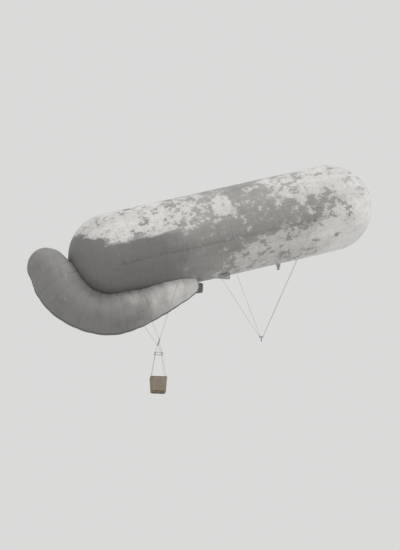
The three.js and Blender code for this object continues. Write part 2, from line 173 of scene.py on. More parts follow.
class Tree:
    """A material with its node tree, started with a Principled shader."""

    def __init__(self, name: str) -> None:
        """Makes the material.

        Args:
            name: The material's name.
        """
        self.material = bpy.data.materials.new(name)
        self.material.use_nodes = True
        self.nodes = self.material.node_tree.nodes
        self.links = self.material.node_tree.links
        self.nodes.clear()
        self.shader = self.nodes.new("ShaderNodeBsdfPrincipled")
        output = self.nodes.new("ShaderNodeOutputMaterial")
        self.links.new(self.shader.outputs[0], output.inputs["Surface"])

    def _put(self, node: bpy.types.Node, key: int | str, value: object) -> None:
        """Sets or links one input socket.

        Args:
            node: The node.
            key: The socket's place, name or identifier.
            value: What it is set to, or the socket that it is linked to.
        """
        found = [s for s in node.inputs if key in (s.name, s.identifier) and s.enabled]
        socket = node.inputs[key] if isinstance(key, int) else found[0]
        if isinstance(value, Sock):
            self.links.new(value.socket, socket)
        else:
            socket.default_value = value

    def node(
        self,
        kind: str,
        settings: dict[str, object] | None = None,
        sockets: dict[int | str, object] | None = None,
        out: int | str = 0,
    ) -> Sock:
        """Adds a node.

        Args:
            kind: The node's type.
            settings: Properties of the node, set first.
            sockets: Values or links of its input sockets.
            out: The output to hand on.

        Returns:
            The chosen output.
        """
        node = self.nodes.new(kind)
        for key, value in (settings or {}).items():
            setattr(node, key, value)
        for key, value in (sockets or {}).items():
            self._put(node, key, value)
        return Sock(self, node.outputs[out])

    def place(self) -> Sock:
        """Where the shaded point is in the balloon's own frame, in metres."""
        return self.node("ShaderNodeTexCoord", out="Object")

    def lay(self) -> tuple[Sock, Sock]:
        """The point's place across and along its piece, in metres."""
        both = self.node("ShaderNodeUVMap", {"uv_map": LAY})
        return tuple(self.node("ShaderNodeSeparateXYZ", sockets={0: both}, out=i) for i in (0, 1))

    def along(self, direction: Array) -> Sock:
        """How far the point lies along a direction from the origin, in metres."""
        sides = {0: self.place(), 1: tuple(direction)}
        return self.node("ShaderNodeVectorMath", {"operation": "DOT_PRODUCT"}, sides, "Value")

    def stretched(self, scale: tuple[float, float, float]) -> Sock:
        """The place in the pitched frame (along, to port, over the axis), each way scaled.

        Args:
            scale: Factors along the axis, to port and upright.

        Returns:
            The scaled place.
        """
        turn = {"Vector": self.place(), "Angle": PITCH}
        flat = self.node("ShaderNodeVectorRotate", {"rotation_type": "Y_AXIS"}, turn)
        return self.node("ShaderNodeVectorMath", {"operation": "MULTIPLY"}, {0: flat, 1: scale})

    def noise(self, scale: float, detail: float, vector: Sock | None = None, rough: float = 0.5) -> Sock:
        """Noise from 0 to 1 at scale cells a metre and detail octaves, read at vector or at the place."""
        sockets = {"Vector": vector or self.place(), "Scale": scale, "Detail": detail, "Roughness": rough}
        return self.node("ShaderNodeTexNoise", sockets=sockets)

    def mix(
        self, factor: Sock | float, first: Sock | Colour, second: Sock | Colour, blend: str = "MIX"
    ) -> Sock:
        """Mixes two colours.

        Args:
            factor: 0 for the first, 1 for the second.
            first: A colour.
            second: A colour.
            blend: The Mix node's blend type.

        Returns:
            The mixed colour.
        """
        pair = [c if isinstance(c, Sock) else (*c, 1.0) for c in (first, second)]
        sockets = {"Factor_Float": factor, "A_Color": pair[0], "B_Color": pair[1]}
        settings = {"data_type": "RGBA", "blend_type": blend, "clamp_factor": True}
        return self.node("ShaderNodeMix", settings, sockets, 2)

    def shaded(self, tone: Sock, shade: float) -> Sock:
        """A colour times a shade, or as it is where the shade is 1."""
        return tone if shade == 1.0 else self.mix(1.0, tone, (shade,) * 3, "MULTIPLY")

    def bump(self, height: Sock, distance: float, strength: float) -> Sock:
        """A normal bent by a height in units of distance."""
        sockets = {"Height": height, "Distance": distance, "Strength": strength}
        return self.node("ShaderNodeBump", sockets=sockets)

    def finish(self, **inputs: object) -> Material:
        """Sets the Principled shader.

        Args:
            **inputs: Socket names with underscores for spaces, and their values or links.

        Returns:
            The material.
        """
        for key, value in inputs.items():
            self._put(self.shader, key.replace("_", " "), value)
        return self.material


# Finishes


@dataclass(frozen=True)
class GasFabric:
    """Varnished balloon fabric: dark and smooth aft and below, bleached and flaking on top and forward; the
    pale top is partly a painted highlight, and the pale underside near the nose is painted light.
    """

    name: str = "gas_fabric"
    dark: Colour = (0.186, 0.183, 0.175)
    dusty: Colour = (0.275, 0.271, 0.260)
    pale: Colour = (0.645, 0.635, 0.615)
    underside_painted_light: Colour = (0.82, 0.81, 0.79)
    soot: Colour = (0.11, 0.108, 0.103)
    radius: float = GAS_BAG_RADIUS
    lean: float = math.radians(20.0)
    shade: float = 1.0

    def _bleached(self, tree: Tree, frayed: Sock) -> tuple[Sock, Sock, Sock, Sock]:
        """How far the fabric has bleached, with a painted highlight on the crown and painted light under
        the nose.

        Args:
            tree: The material's tree.
            frayed: A value round 0 that frays the edges.

        Returns:
            The mean share of bleaching, with painted light, where the fabric is mottled rather than smooth,
            where its dark parts are dusty and where painted light lifts its pale parts under the nose; each
            0 to 1.
        """
        # Places along the bag and up its side, the height a little greater out on the flanks.
        ahead = tree.along(AXIS)
        flank = abs(tree.along(PORT)) * (math.sin(self.lean) / self.radius)
        height = tree.along(UPRIGHT) * (math.cos(self.lean) / self.radius) + flank
        wander = ahead + frayed * 1.2
        # Aft, only the crown is pale, down to an edge that rises round the stern: partly bleaching, partly
        # a painted highlight where light falls on the top.
        edge = 0.30 + (0.0 - wander).step(9.0, 11.2) * 0.36 - wander.step(-5.2, -3.4) * 0.04
        crown = (height - edge + frayed * 0.14).step(-0.05, 0.05)
        dusty = wander.step(-5.6, -2.6)
        dull = dusty * 0.08
        aft = crown * (0.78 - wander.step(-5.0, -3.4) * 0.30 - dull) + dull
        # Forward, more and more is bleached towards the nose, least on the middle of the flank.
        streak = wander.step(2.0, 8.0) * 0.14 + wander.step(7.6, 11.4) * 0.42 + 0.15
        aside = (abs(height - 0.08 + frayed * 0.2) / 0.42).step(0.45, 1.15)
        # Painted light: below the axis the fabric counts as further forward, so the underside turns pale
        # sooner towards the nose (here and in the beside and forward shares), and under the nose it is
        # lifted towards near white; both stand in for light from below.
        under = (0.0 - height).larger(0.0) * 4.5
        underside_painted_light_share = wander.step(4.6, 8.4) * (0.2 - height).step(-0.1, 0.35)
        beside = (wander + under).step(2.0, 4.6) * 0.38 + wander.step(5.4, 8.6) * 0.20 + 0.34
        fore = streak + (beside - streak).larger(0.0) * aside - (height - 0.35).larger(0.0) * 0.32
        forward = (wander + under * 0.4).step(-1.4, 1.2)
        # One spot amidships, high on the flank, is bare.
        spot = (ahead + 0.1) * (ahead + 0.1) + (height - 0.62) * (height - 0.62) * 9.0
        bare = (1.0 - (spot + frayed * 0.6).step(0.35, 0.95)) * 0.8
        share = (aft + (fore - aft) * forward).larger(bare)
        # Painted light under the nose raises the share of pale fabric there.
        share = share + underside_painted_light_share * 0.15
        return share, crown.larger(forward).larger(dull * 7.0), dusty, underside_painted_light_share

    def tone(self, tree: Tree) -> tuple[Sock, Sock]:
        """The fabric's colour.

        Args:
            tree: The material's tree.

        Returns:
            The colour and the share of bleaching, which holds the painted light too.
        """
        # Noise from broad to fine, drawn out a little along the bag.
        drawn = tree.stretched((0.8, 1.0, 1.0))
        broad = tree.noise(0.55, 2.0, drawn)
        patchy = tree.noise(1.15, 5.0, drawn, 0.62)
        flaky = tree.noise(2.7, 4.0, drawn, 0.62)
        chips = tree.noise(7.5, 3.0, drawn, 0.55)
        frayed = (broad - 0.5) * 1.3 + (patchy - 0.5) * 1.3
        share, mottled, dusty, underside_painted_light_share = self._bleached(tree, frayed)
        # Soft clouds and sharp flakes that swing about the mean share of bleaching.
        swing = (patchy - 0.5) * 2.1 + (flaky - 0.5) * 2.3
        cloud = (share + swing * (share * 0.6 + 0.3)).larger(0.0).smaller(1.0)
        flake = (swing + share + (chips - 0.5) * 0.9 - 0.5).step(-0.05, 0.05)
        cover = (cloud * 0.45 + flake * 0.55) * mottled + share * (1.0 - mottled)
        # The varnished ground, what is bleached over it with painted light under the nose, dark specks,
        # fewer under the painted light, and sooty streaks.
        ground = tree.mix(dusty, self.dark, self.dusty)
        tone = tree.mix(cover, ground, tree.mix(underside_painted_light_share, self.pale, self.underside_painted_light))
        speck = (chips * 0.6 + flaky * 0.4).step(0.585, 0.61) * mottled * (0.42 - underside_painted_light_share * 0.2)
        tone = tree.mix(speck, tone, ground)
        run = tree.noise(0.7, 4.0, tree.stretched((0.25, 1.0, 1.0)), 0.6).step(0.40, 0.75)
        tone = tree.mix(run * 0.20, tone, self.soot)
        return tree.shaded(tone, self.shade), cover

    def material(self) -> Material:
        """Builds the material.

        Returns:
            The material.
        """
        tree = Tree(self.name)
        tone, cover = self.tone(tree)
        crumple = tree.noise(8.0, 3.0) * 0.5 + tree.noise(55.0, 2.0) * 0.12 + cover * 0.3
        normal = tree.bump(crumple, 0.006, 0.7)
        return tree.finish(Base_Color=tone, Roughness=cover * 0.26 + 0.52, Normal=normal)


@dataclass(frozen=True)
class BagFabric:
    """Lighter proofed cotton of the steering bag, bleached towards its front tip, with a painted highlight
    along its upper edges.
    """

    name: str = "bag_fabric"
    body: Colour = (0.225, 0.221, 0.212)
    pale: Colour = (0.66, 0.65, 0.63)
    grime: Colour = (0.135, 0.131, 0.125)
    fade_from: float = -10.2
    fade_to: float = -4.0
    half_girth: float = STEERING_HALF_GIRTH
    panel: float = STEERING_PANEL
    shade: float = 1.0

    def material(self) -> Material:
        """Builds the material.

        Returns:
            The material.
        """
        tree = Tree(self.name)
        mottle = tree.noise(1.1, 4.0, rough=0.62)
        panel = tree.noise(0.9, 2.0, tree.stretched((1.0, 0.12, 0.12)))
        # Bleached towards the front tip, and sooner where it is higher.
        ahead = tree.along(AXIS) + tree.along(UPRIGHT) * 0.3 + 1.2
        bleach_and_painted_highlight = (ahead + (mottle - 0.5) * 3.0 + (panel - 0.5) * 2.5).step(self.fade_from, self.fade_to)
        # Painted highlight: a paler band along the upper edges, where the bag meets the gas bag, lifts the
        # shade there, brightest between the seams.
        across, along = tree.lay()
        painted_join_highlight = (abs(across) / self.half_girth + (mottle - 0.5) * 0.3).step(0.72, 1.0)
        painted_pillow_highlight = abs((along * (math.pi / self.panel)).sine()).step(0.55, 0.95) * bleach_and_painted_highlight.step(0.05, 0.3)
        bleach_and_painted_highlight = bleach_and_painted_highlight.larger(painted_join_highlight * (painted_pillow_highlight * 0.35 + 0.24))
        tone = tree.mix(bleach_and_painted_highlight, self.body, self.pale)
        # Grime that has run down, and a few pale spots.
        run = tree.noise(1.3, 3.0, tree.stretched((1.0, 1.0, 0.35)), 0.6).step(0.45, 0.8)
        tone = tree.mix(run * 0.45, tone, self.grime)
        spot = tree.noise(2.6, 3.0, rough=0.7).step(0.66, 0.72)
        tone = tree.shaded(tree.mix(spot * 0.35, tone, self.pale), self.shade)
        crumple = tree.noise(7.0, 3.0) * 0.6 + tree.noise(55.0, 2.0) * 0.12
        normal = tree.bump(crumple, 0.008, 0.7)
        return tree.finish(Base_Color=tone, Roughness=mottle * 0.16 + 0.66, Normal=normal)


@dataclass(frozen=True)
class BandFabric:
    """Doubled webbing and doped tape, stitched along both edges."""

    name: str = "band_fabric"
    tone: Colour = (0.16, 0.157, 0.15)
    worn: Colour = (0.36, 0.352, 0.337)
    width: float = WEB_WIDTH
    ground: GasFabric | None = None

    def material(self) -> Material:
        """Builds the material.

        Returns:
            The material.
        """
        tree = Tree(self.name)
        across, along = tree.lay()
        edge = (abs(across - self.width / 2) / (self.width / 2)).step(0.72, 0.8)
        stitch = (along * 180.0).sine().step(0.1, 0.5) * edge
        wear = tree.noise(4.0, 4.0, rough=0.65).step(0.42, 0.68)
        tone = self.tone if self.ground is None else self.ground.tone(tree)[0]
        tone = tree.mix(wear * 0.3, tone, self.worn)
        tone = tree.mix(stitch * 0.4, tone, self.worn)
        weave = tree.noise(90.0, 2.0) * 0.4 + stitch * 0.6
        normal = tree.bump(weave, 0.004, 0.8)
        return tree.finish(Base_Color=tone, Roughness=0.7 + 0.15 * wear, Normal=normal)


@dataclass(frozen=True)
class Hemp:
    """Tarred hemp rope."""

    tone: Colour = (0.19, 0.172, 0.14)
    fibre: Colour = (0.37, 0.335, 0.27)
    tar: Colour = (0.09, 0.08, 0.07)

    def material(self) -> Material:
        """Builds the material.

        Returns:
            The material.
        """
        tree = Tree("rope")
        grime = tree.noise(3.0, 4.0).step(0.3, 0.7)
        strand = tree.noise(160.0, 3.0, rough=0.7)
        tone = tree.mix(strand * 0.6, self.tone, self.fibre)
        tone = tree.mix(grime * 0.35, tone, self.tar)
        return tree.finish(Base_Color=tone, Roughness=0.85, Normal=tree.bump(strand, 0.002, 0.8))


@dataclass(frozen=True)
class Timber:
    """Varnished ash, darkened where it is handled."""

    light: Colour = (0.36, 0.285, 0.195)
    dark: Colour = (0.19, 0.14, 0.09)
    handled: Colour = (0.10, 0.07, 0.045)
    varnish: float = 0.25

    def material(self) -> Material:
        """Builds the material.

        Returns:
            The material.
        """
        tree = Tree("wood")
        across, along = tree.lay()
        place = tree.node("ShaderNodeCombineXYZ", sockets={0: across * 90.0, 1: along * 5.0, 2: 0.0})
        grain = tree.noise(1.0, 4.0, place, 0.6)
        worn = tree.noise(6.0, 3.0).step(0.4, 0.7)
        tone = tree.mix(grain.step(0.35, 0.65), self.light, self.dark)
        tone = tree.mix(worn * 0.3, tone, self.handled)
        normal = tree.bump(grain, 0.001, 0.5)
        rough = 0.42 + 0.2 * worn
        return tree.finish(Base_Color=tone, Roughness=rough, Normal=normal, Coat_Weight=self.varnish)


@dataclass(frozen=True)
class Wicker:
    """Willow and cane, browned by weather."""

    light: Colour = (0.43, 0.36, 0.265)
    dark: Colour = (0.20, 0.16, 0.115)
    grey: Colour = (0.20, 0.185, 0.165)

    def material(self) -> Material:
        """Builds the material.

        Returns:
            The material.
        """
        tree = Tree("wicker")
        rods = tree.noise(34.0, 2.0)
        weather = tree.noise(2.2, 4.0, rough=0.6).step(0.3, 0.72)
        tone = tree.mix(rods.step(0.3, 0.7), self.dark, self.light)
        tone = tree.mix(weather * 0.35, tone, self.grey)
        normal = tree.bump(tree.noise(140.0, 2.0), 0.0015, 0.6)
        return tree.finish(Base_Color=tone, Roughness=0.5 + 0.2 * weather, Normal=normal)


@dataclass(frozen=True)
class Hide:
    """Leather, dark with handling, creased across."""

    tone: Colour = (0.085, 0.05, 0.032)
    worn: Colour = (0.20, 0.125, 0.08)

    def material(self) -> Material:
        """Builds the material.

        Returns:
            The material.
        """
        tree = Tree("leather")
        grain = tree.node("ShaderNodeTexVoronoi", {}, {"Vector": tree.place(), "Scale": 240.0}, "Distance")
        scuff = tree.noise(9.0, 5.0, rough=0.7).step(0.48, 0.66)
        tone = tree.mix(scuff * 0.7, self.tone, self.worn)
        rough = 0.42 + 0.3 * scuff
        return tree.finish(Base_Color=tone, Roughness=rough, Normal=tree.bump(grain, 0.0008, 0.6))


@dataclass(frozen=True)
class Iron:
    """Forged and galvanised steel, dull, rust at the edges of its scale."""

    tone: Colour = (0.30, 0.31, 0.32)
    dull: Colour = (0.16, 0.165, 0.17)
    rust: Colour = (0.16, 0.085, 0.045)

    def material(self) -> Material:
        """Builds the material.

        Returns:
            The material.
        """
        tree = Tree("steel")
        scale = tree.noise(28.0, 4.0, rough=0.65)
        rusty = tree.noise(11.0, 5.0, rough=0.7).step(0.56, 0.68)
        tone = tree.mix(rusty, tree.mix(scale * 0.5, self.tone, self.dull), self.rust)
        rough = 0.38 + 0.2 * scale + 0.3 * rusty
        normal = tree.bump(scale, 0.001, 0.5)
        return tree.finish(Base_Color=tone, Metallic=0.9 - 0.8 * rusty, Roughness=rough, Normal=normal)


@dataclass(frozen=True)
class PaleFloor:
    """Plain pale floor."""

    tone: Colour = (0.615, 0.615, 0.61)
    cloud: Colour = (0.59, 0.59, 0.585)

    def material(self) -> Material:
        """Builds the material.

        Returns:
            The material.
        """
        tree = Tree("pale_floor")
        tone = tree.mix(tree.noise(0.02, 2.0) * 0.2, self.tone, self.cloud)
        return tree.finish(Base_Color=tone, Roughness=0.9)


# Shapes


@dataclass
class Sheet:
    """A grid of points that becomes faces: rows run along the piece, columns across it."""

    points: Array
    wrap: bool = False
    lay: Array | None = None
    skip: Array | None = None

    def _cells(self) -> tuple[Array, Array]:
        """Each face's row and column in the grid.

        Returns:
            Rows and columns.
        """
        rows, cols = self.points.shape[:2]
        row, col = np.indices((rows - 1, cols if self.wrap else cols - 1))
        return (row, col) if self.skip is None else (row[~self.skip], col[~self.skip])

    def corners(self) -> Array:
        """Indexes of each face's four corners in the flattened grid.

        Returns:
            An array of faces by 4.
        """
        cols = self.points.shape[1]
        row, col = self._cells()
        here, right = row * cols + col, row * cols + (col + 1) % cols
        return np.stack([here, right, right + cols, here + cols], -1).reshape(-1, 4)

    def coordinates(self) -> Array:
        """The place across and along the piece at each face's corners, in metres.

        Returns:
            An array of corners by 2.
        """
        if self.lay is None:
            down = np.linalg.norm(np.diff(self.points, axis=0), axis=2).mean(1)
            over = np.linalg.norm(np.diff(self.points, axis=1), axis=2).mean(0)
            length = np.concatenate([[0.0], np.cumsum(down)])
            width = np.concatenate([[0.0], np.cumsum(over)])
        else:
            width, length = self.lay
        width = np.append(width, width[-1] + width[-1] / max(len(width) - 1, 1))
        row, col = self._cells()
        across = np.stack([width[col], width[col + 1], width[col + 1], width[col]], -1)
        along = np.stack([length[row], length[row], length[row + 1], length[row + 1]], -1)
        return np.stack([across, along], -1).reshape(-1, 2)


def unit(vector: Array) -> Array:
    """The vector or vectors at length 1."""
    length = np.linalg.norm(vector, axis=-1, keepdims=True)
    return vector / np.maximum(length, 1e-12)


def around(count: int) -> Array:
    """Turns evenly round a circle, from 0."""
    return np.arange(count) / count * 2 * math.pi


def circle(sides: int, radius: float = 1.0) -> Array:
    """Points of a circle, to sweep along a path."""
    turn = around(sides)
    return radius * np.stack([np.cos(turn), np.sin(turn)], -1)


def strands(radius: float) -> Array:
    """Points of a rope's section, with a lobe for each strand."""
    reach = radius * (1 - GROOVE + GROOVE * np.abs(np.cos(around(ROPE_SIDES) * STRANDS / 2)))
    return reach[:, None] * circle(ROPE_SIDES)


def rounded(width: float, height: float, corner: float, per_corner: int = 4) -> Array:
    """Points of a rectangle with round corners.

    Args:
        width: Width over all.
        height: Height over all.
        corner: Corner radius.
        per_corner: Points at each corner.

    Returns:
        An array of points by 2.
    """
    points = []
    for quarter, (x, y) in enumerate([(1, 1), (-1, 1), (-1, -1), (1, -1)]):
        for k in range(per_corner):
            turn = (quarter + k / (per_corner - 1)) * math.pi / 2
            centre_x, centre_y = x * (width / 2 - corner), y * (height / 2 - corner)
            points.append((centre_x + corner * math.cos(turn), centre_y + corner * math.sin(turn)))
    return np.array(points)


def run_lengths(path: Array) -> Array:
    """Distance along a path to each of its points."""
    return np.concatenate([[0.0], np.cumsum(np.linalg.norm(np.diff(path, axis=0), axis=1))])


def read_off(path: Array, at: Array, wanted: Array | float) -> Array:
    """Points of a path at the wanted distances, where at holds the distance to each of its points."""
    return np.stack([np.interp(wanted, at, column) for column in path.T], -1)


def resampled(path: Array, step: float) -> Array:
    """The path with points evenly apart, about the step given."""
    at = run_lengths(path)
    return read_off(path, at, np.linspace(0, at[-1], max(2, int(round(at[-1] / step)) + 1)))


def headings(path: Array, closed: bool) -> Array:
    """Directions along a path at its points."""
    return unit(np.roll(path, -1, 0) - np.roll(path, 1, 0) if closed else np.gradient(path, axis=0))


def sweep(
    path: Array,
    outline: Array,
    scale: Array | float = 1.0,
    roll: Array | float = 0.0,
    up: Point = UP,
    closed: bool = False,
) -> Sheet:
    """Carries an outline along a path.

    Args:
        path: Points by 3.
        outline: Section points by 2: across, then upright.
        scale: Size of the section at each point.
        roll: Turn of the section at each point, in radians.
        up: The side that the section's second axis leans to.
        closed: Whether the path's ends meet; otherwise each end is closed by a fan.

    Returns:
        The swept surface.
    """
    heading = headings(path, closed)
    side = np.cross(heading, up)
    weak = np.linalg.norm(side, axis=1) < 1e-3
    side[weak] = np.cross(heading[weak], [1.0, 0.0, 0.001])
    side = unit(side)
    top = np.cross(side, heading)
    scale, roll = (np.broadcast_to(v, len(path))[:, None] for v in (scale, roll))
    x = (outline[None, :, 0] * np.cos(roll) - outline[None, :, 1] * np.sin(roll)) * scale
    y = (outline[None, :, 0] * np.sin(roll) + outline[None, :, 1] * np.cos(roll)) * scale
    points = path[:, None, :] + x[..., None] * side[:, None, :] + y[..., None] * top[:, None, :]
    if closed:
        points = np.concatenate([points, points[:1]])
    else:
        ends = [np.repeat(path[i][None, None, :], points.shape[1], 1) for i in (0, -1)]
        points = np.concatenate([ends[0], points, ends[1]])
    return Sheet(points, wrap=True)


def turned(profile: Sequence[Pair], centre: Point, axis: Point, sides: int) -> Sheet:
    """Turns a profile about an axis.

    Args:
        profile: Rows of (radius, height along the axis).
        centre: Where height 0 lies.
        axis: The axis.
        sides: Points round it.

    Returns:
        The turned surface.
    """
    axis = unit(np.array(axis))
    side = unit(np.cross(axis, [0.0, 1.0, 0.0] if abs(axis[1]) < 0.9 else UP))
    other = np.cross(axis, side)
    turn = around(sides)
    spoke = np.cos(turn)[:, None] * side + np.sin(turn)[:, None] * other
    radius, height = np.array(profile).T[:, :, None, None]
    return Sheet(np.array(centre) + height * axis + radius * spoke, wrap=True)


def spliced(start: Array, stop: Array, radius: float, splice: float = 0.35, swell: float = 1.5) -> Sheet:
    """A straight laid rope whose ends are thickened by their eye splices.

    Args:
        start: The rope's start.
        stop: Its end.
        radius: Radius over its strands.
        splice: Length of each splice.
        swell: How much thicker the splices are.

    Returns:
        The rope's surface.
    """
    length = np.linalg.norm(stop - start)
    share = np.linspace(0, 1, 81)
    from_end = np.minimum(share, 1 - share) * length
    scale = 1 + (swell - 1) * np.clip(1 - from_end / splice, 0, 1)
    path = resampled(start + share[:, None] * (stop - start), STRAND_PITCH / 6)
    at = run_lengths(path)
    scale = np.interp(at / at[-1], share, scale)
    return sweep(path, strands(radius), scale, at / STRAND_PITCH * 2 * math.pi)


def ring_path(centre: Point, radius: float, axis: Point, count: int) -> Array:
    """Points of a ring about an axis, its last point short of the first."""
    return turned([(radius, 0.0)], centre, axis, count).points[0]


def wire_ring(
    centre: Point, radius: float, axis: Point, wire: float, count: int = 28, sides: int = 8
) -> Sheet:
    """A closed ring of rope, cord or rod of radius wire, with count points along it and sides round it."""
    return sweep(ring_path(centre, radius, axis, count), circle(sides, wire), closed=True)


def lacing_cord(path: Array, radius: float, turns: int, coil: float) -> Sheet:
    """A cord wound round a closed path.

    Args:
        path: The closed path's points.
        radius: Radius of the winding.
        turns: Turns along the whole path.
        coil: Radius of the cord.

    Returns:
        The cord's surface.
    """
    per_turn = 9
    count = turns * per_turn
    ring = np.concatenate([path, path[:1]])
    spine = read_off(ring, np.arange(len(ring)), np.arange(count) / count * len(path))
    heading = headings(spine, True)
    side = unit(np.cross(heading, np.mean(np.cross(heading[:-1], heading[1:]), 0)))
    top = np.cross(side, heading)
    turn = np.arange(count) / per_turn * 2 * math.pi
    wound = spine + radius * (np.cos(turn)[:, None] * side + np.sin(turn)[:, None] * top)
    return sweep(wound, circle(5, coil), closed=True)


def tape_height(share: Array, thickness: float) -> Array:
    """A tape's height over the fabric at shares of its half width, thin at both edges."""
    return thickness * (1 - 0.9 * np.abs(share) ** 6)


def build(
    name: str,
    sheets: Sequence[Sheet],
    material: Material,
    body: str,
    stands_for: Sequence[str] = (),
    merge: float = 1e-5,
) -> None:
    """Makes one piece of the balloon from its sheets.

    Args:
        name: The piece's name.
        sheets: Its surfaces.
        material: Its finish.
        body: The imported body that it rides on.
        stands_for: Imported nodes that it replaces.
        merge: Distance under which its points become one.
    """
    vertices, faces, lays = [], [], []
    base = 0
    for sheet in sheets:
        flat = sheet.points.reshape(-1, 3)
        vertices.append(flat)
        faces.append(sheet.corners() + base)
        lays.append(sheet.coordinates())
        base += len(flat)
    mesh = bpy.data.meshes.new(name)
    mesh.from_pydata(np.concatenate(vertices).tolist(), [], np.concatenate(faces).tolist())
    layer = mesh.uv_layers.new(name=LAY)
    layer.uv.foreach_set("vector", np.concatenate(lays).astype(np.float32).ravel())
    shell = bmesh.new()
    shell.from_mesh(mesh)
    bmesh.ops.remove_doubles(shell, verts=shell.verts, dist=merge)
    loose = [v for v in shell.verts if not v.link_faces]
    bmesh.ops.delete(shell, geom=loose, context="VERTS")
    bmesh.ops.recalc_face_normals(shell, faces=shell.faces)
    shell.to_mesh(mesh)
    shell.free()
    mesh.polygons.foreach_set("use_smooth", [True] * len(mesh.polygons))
    mesh.materials.append(material)
    piece = bpy.data.objects.new(name, mesh)
    bpy.context.scene.collection.objects.link(piece)
    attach(piece, body)
    if stands_for:
        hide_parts(*stands_for)
    LOG.info("%s: %d faces on %s", name, len(mesh.polygons), body)


@dataclass(frozen=True)
class Throat:
    """The inside of a wind mouth, a level cone open to the front."""

    front: Pair
    radius: float
    flare: float
    length: float
    core: float = 0.02

    def opened(self, points: Array, wrap: bool) -> tuple[Array, Array]:
        """Opens a sheet where the throat goes through it, and lays the opening's edge on the throat's wall.

        Args:
            points: The sheet's grid of points.
            wrap: Whether its last column joins its first.

        Returns:
            The grid with its edge moved, and the faces to leave out.
        """
        back = self.front[0] - points[..., 0]
        beside, over = points[..., 1], points[..., 2] - self.front[1]
        off = np.hypot(beside, over)
        wall = self.radius + self.flare * back
        inside = (off < wall) & (back > 0.0) & (back < self.length)
        grow = np.where(inside, wall / np.maximum(off, self.core), 1.0)
        moved = np.stack([points[..., 0], beside * grow, self.front[1] + over * grow], -1)
        ahead = np.roll(inside, -1, 1) if wrap else inside[:, 1:]
        here = inside if wrap else inside[:, :-1]
        return moved, here[:-1] & here[1:] & ahead[:-1] & ahead[1:]


STEERING_THROAT = Throat(front=(-1.527, -4.651), radius=0.336, flare=0.1875, length=1.6)
BALLONET_THROAT = Throat(front=(0.5639, -3.599), radius=0.222, flare=0.0, length=1.75)


# Gas bag


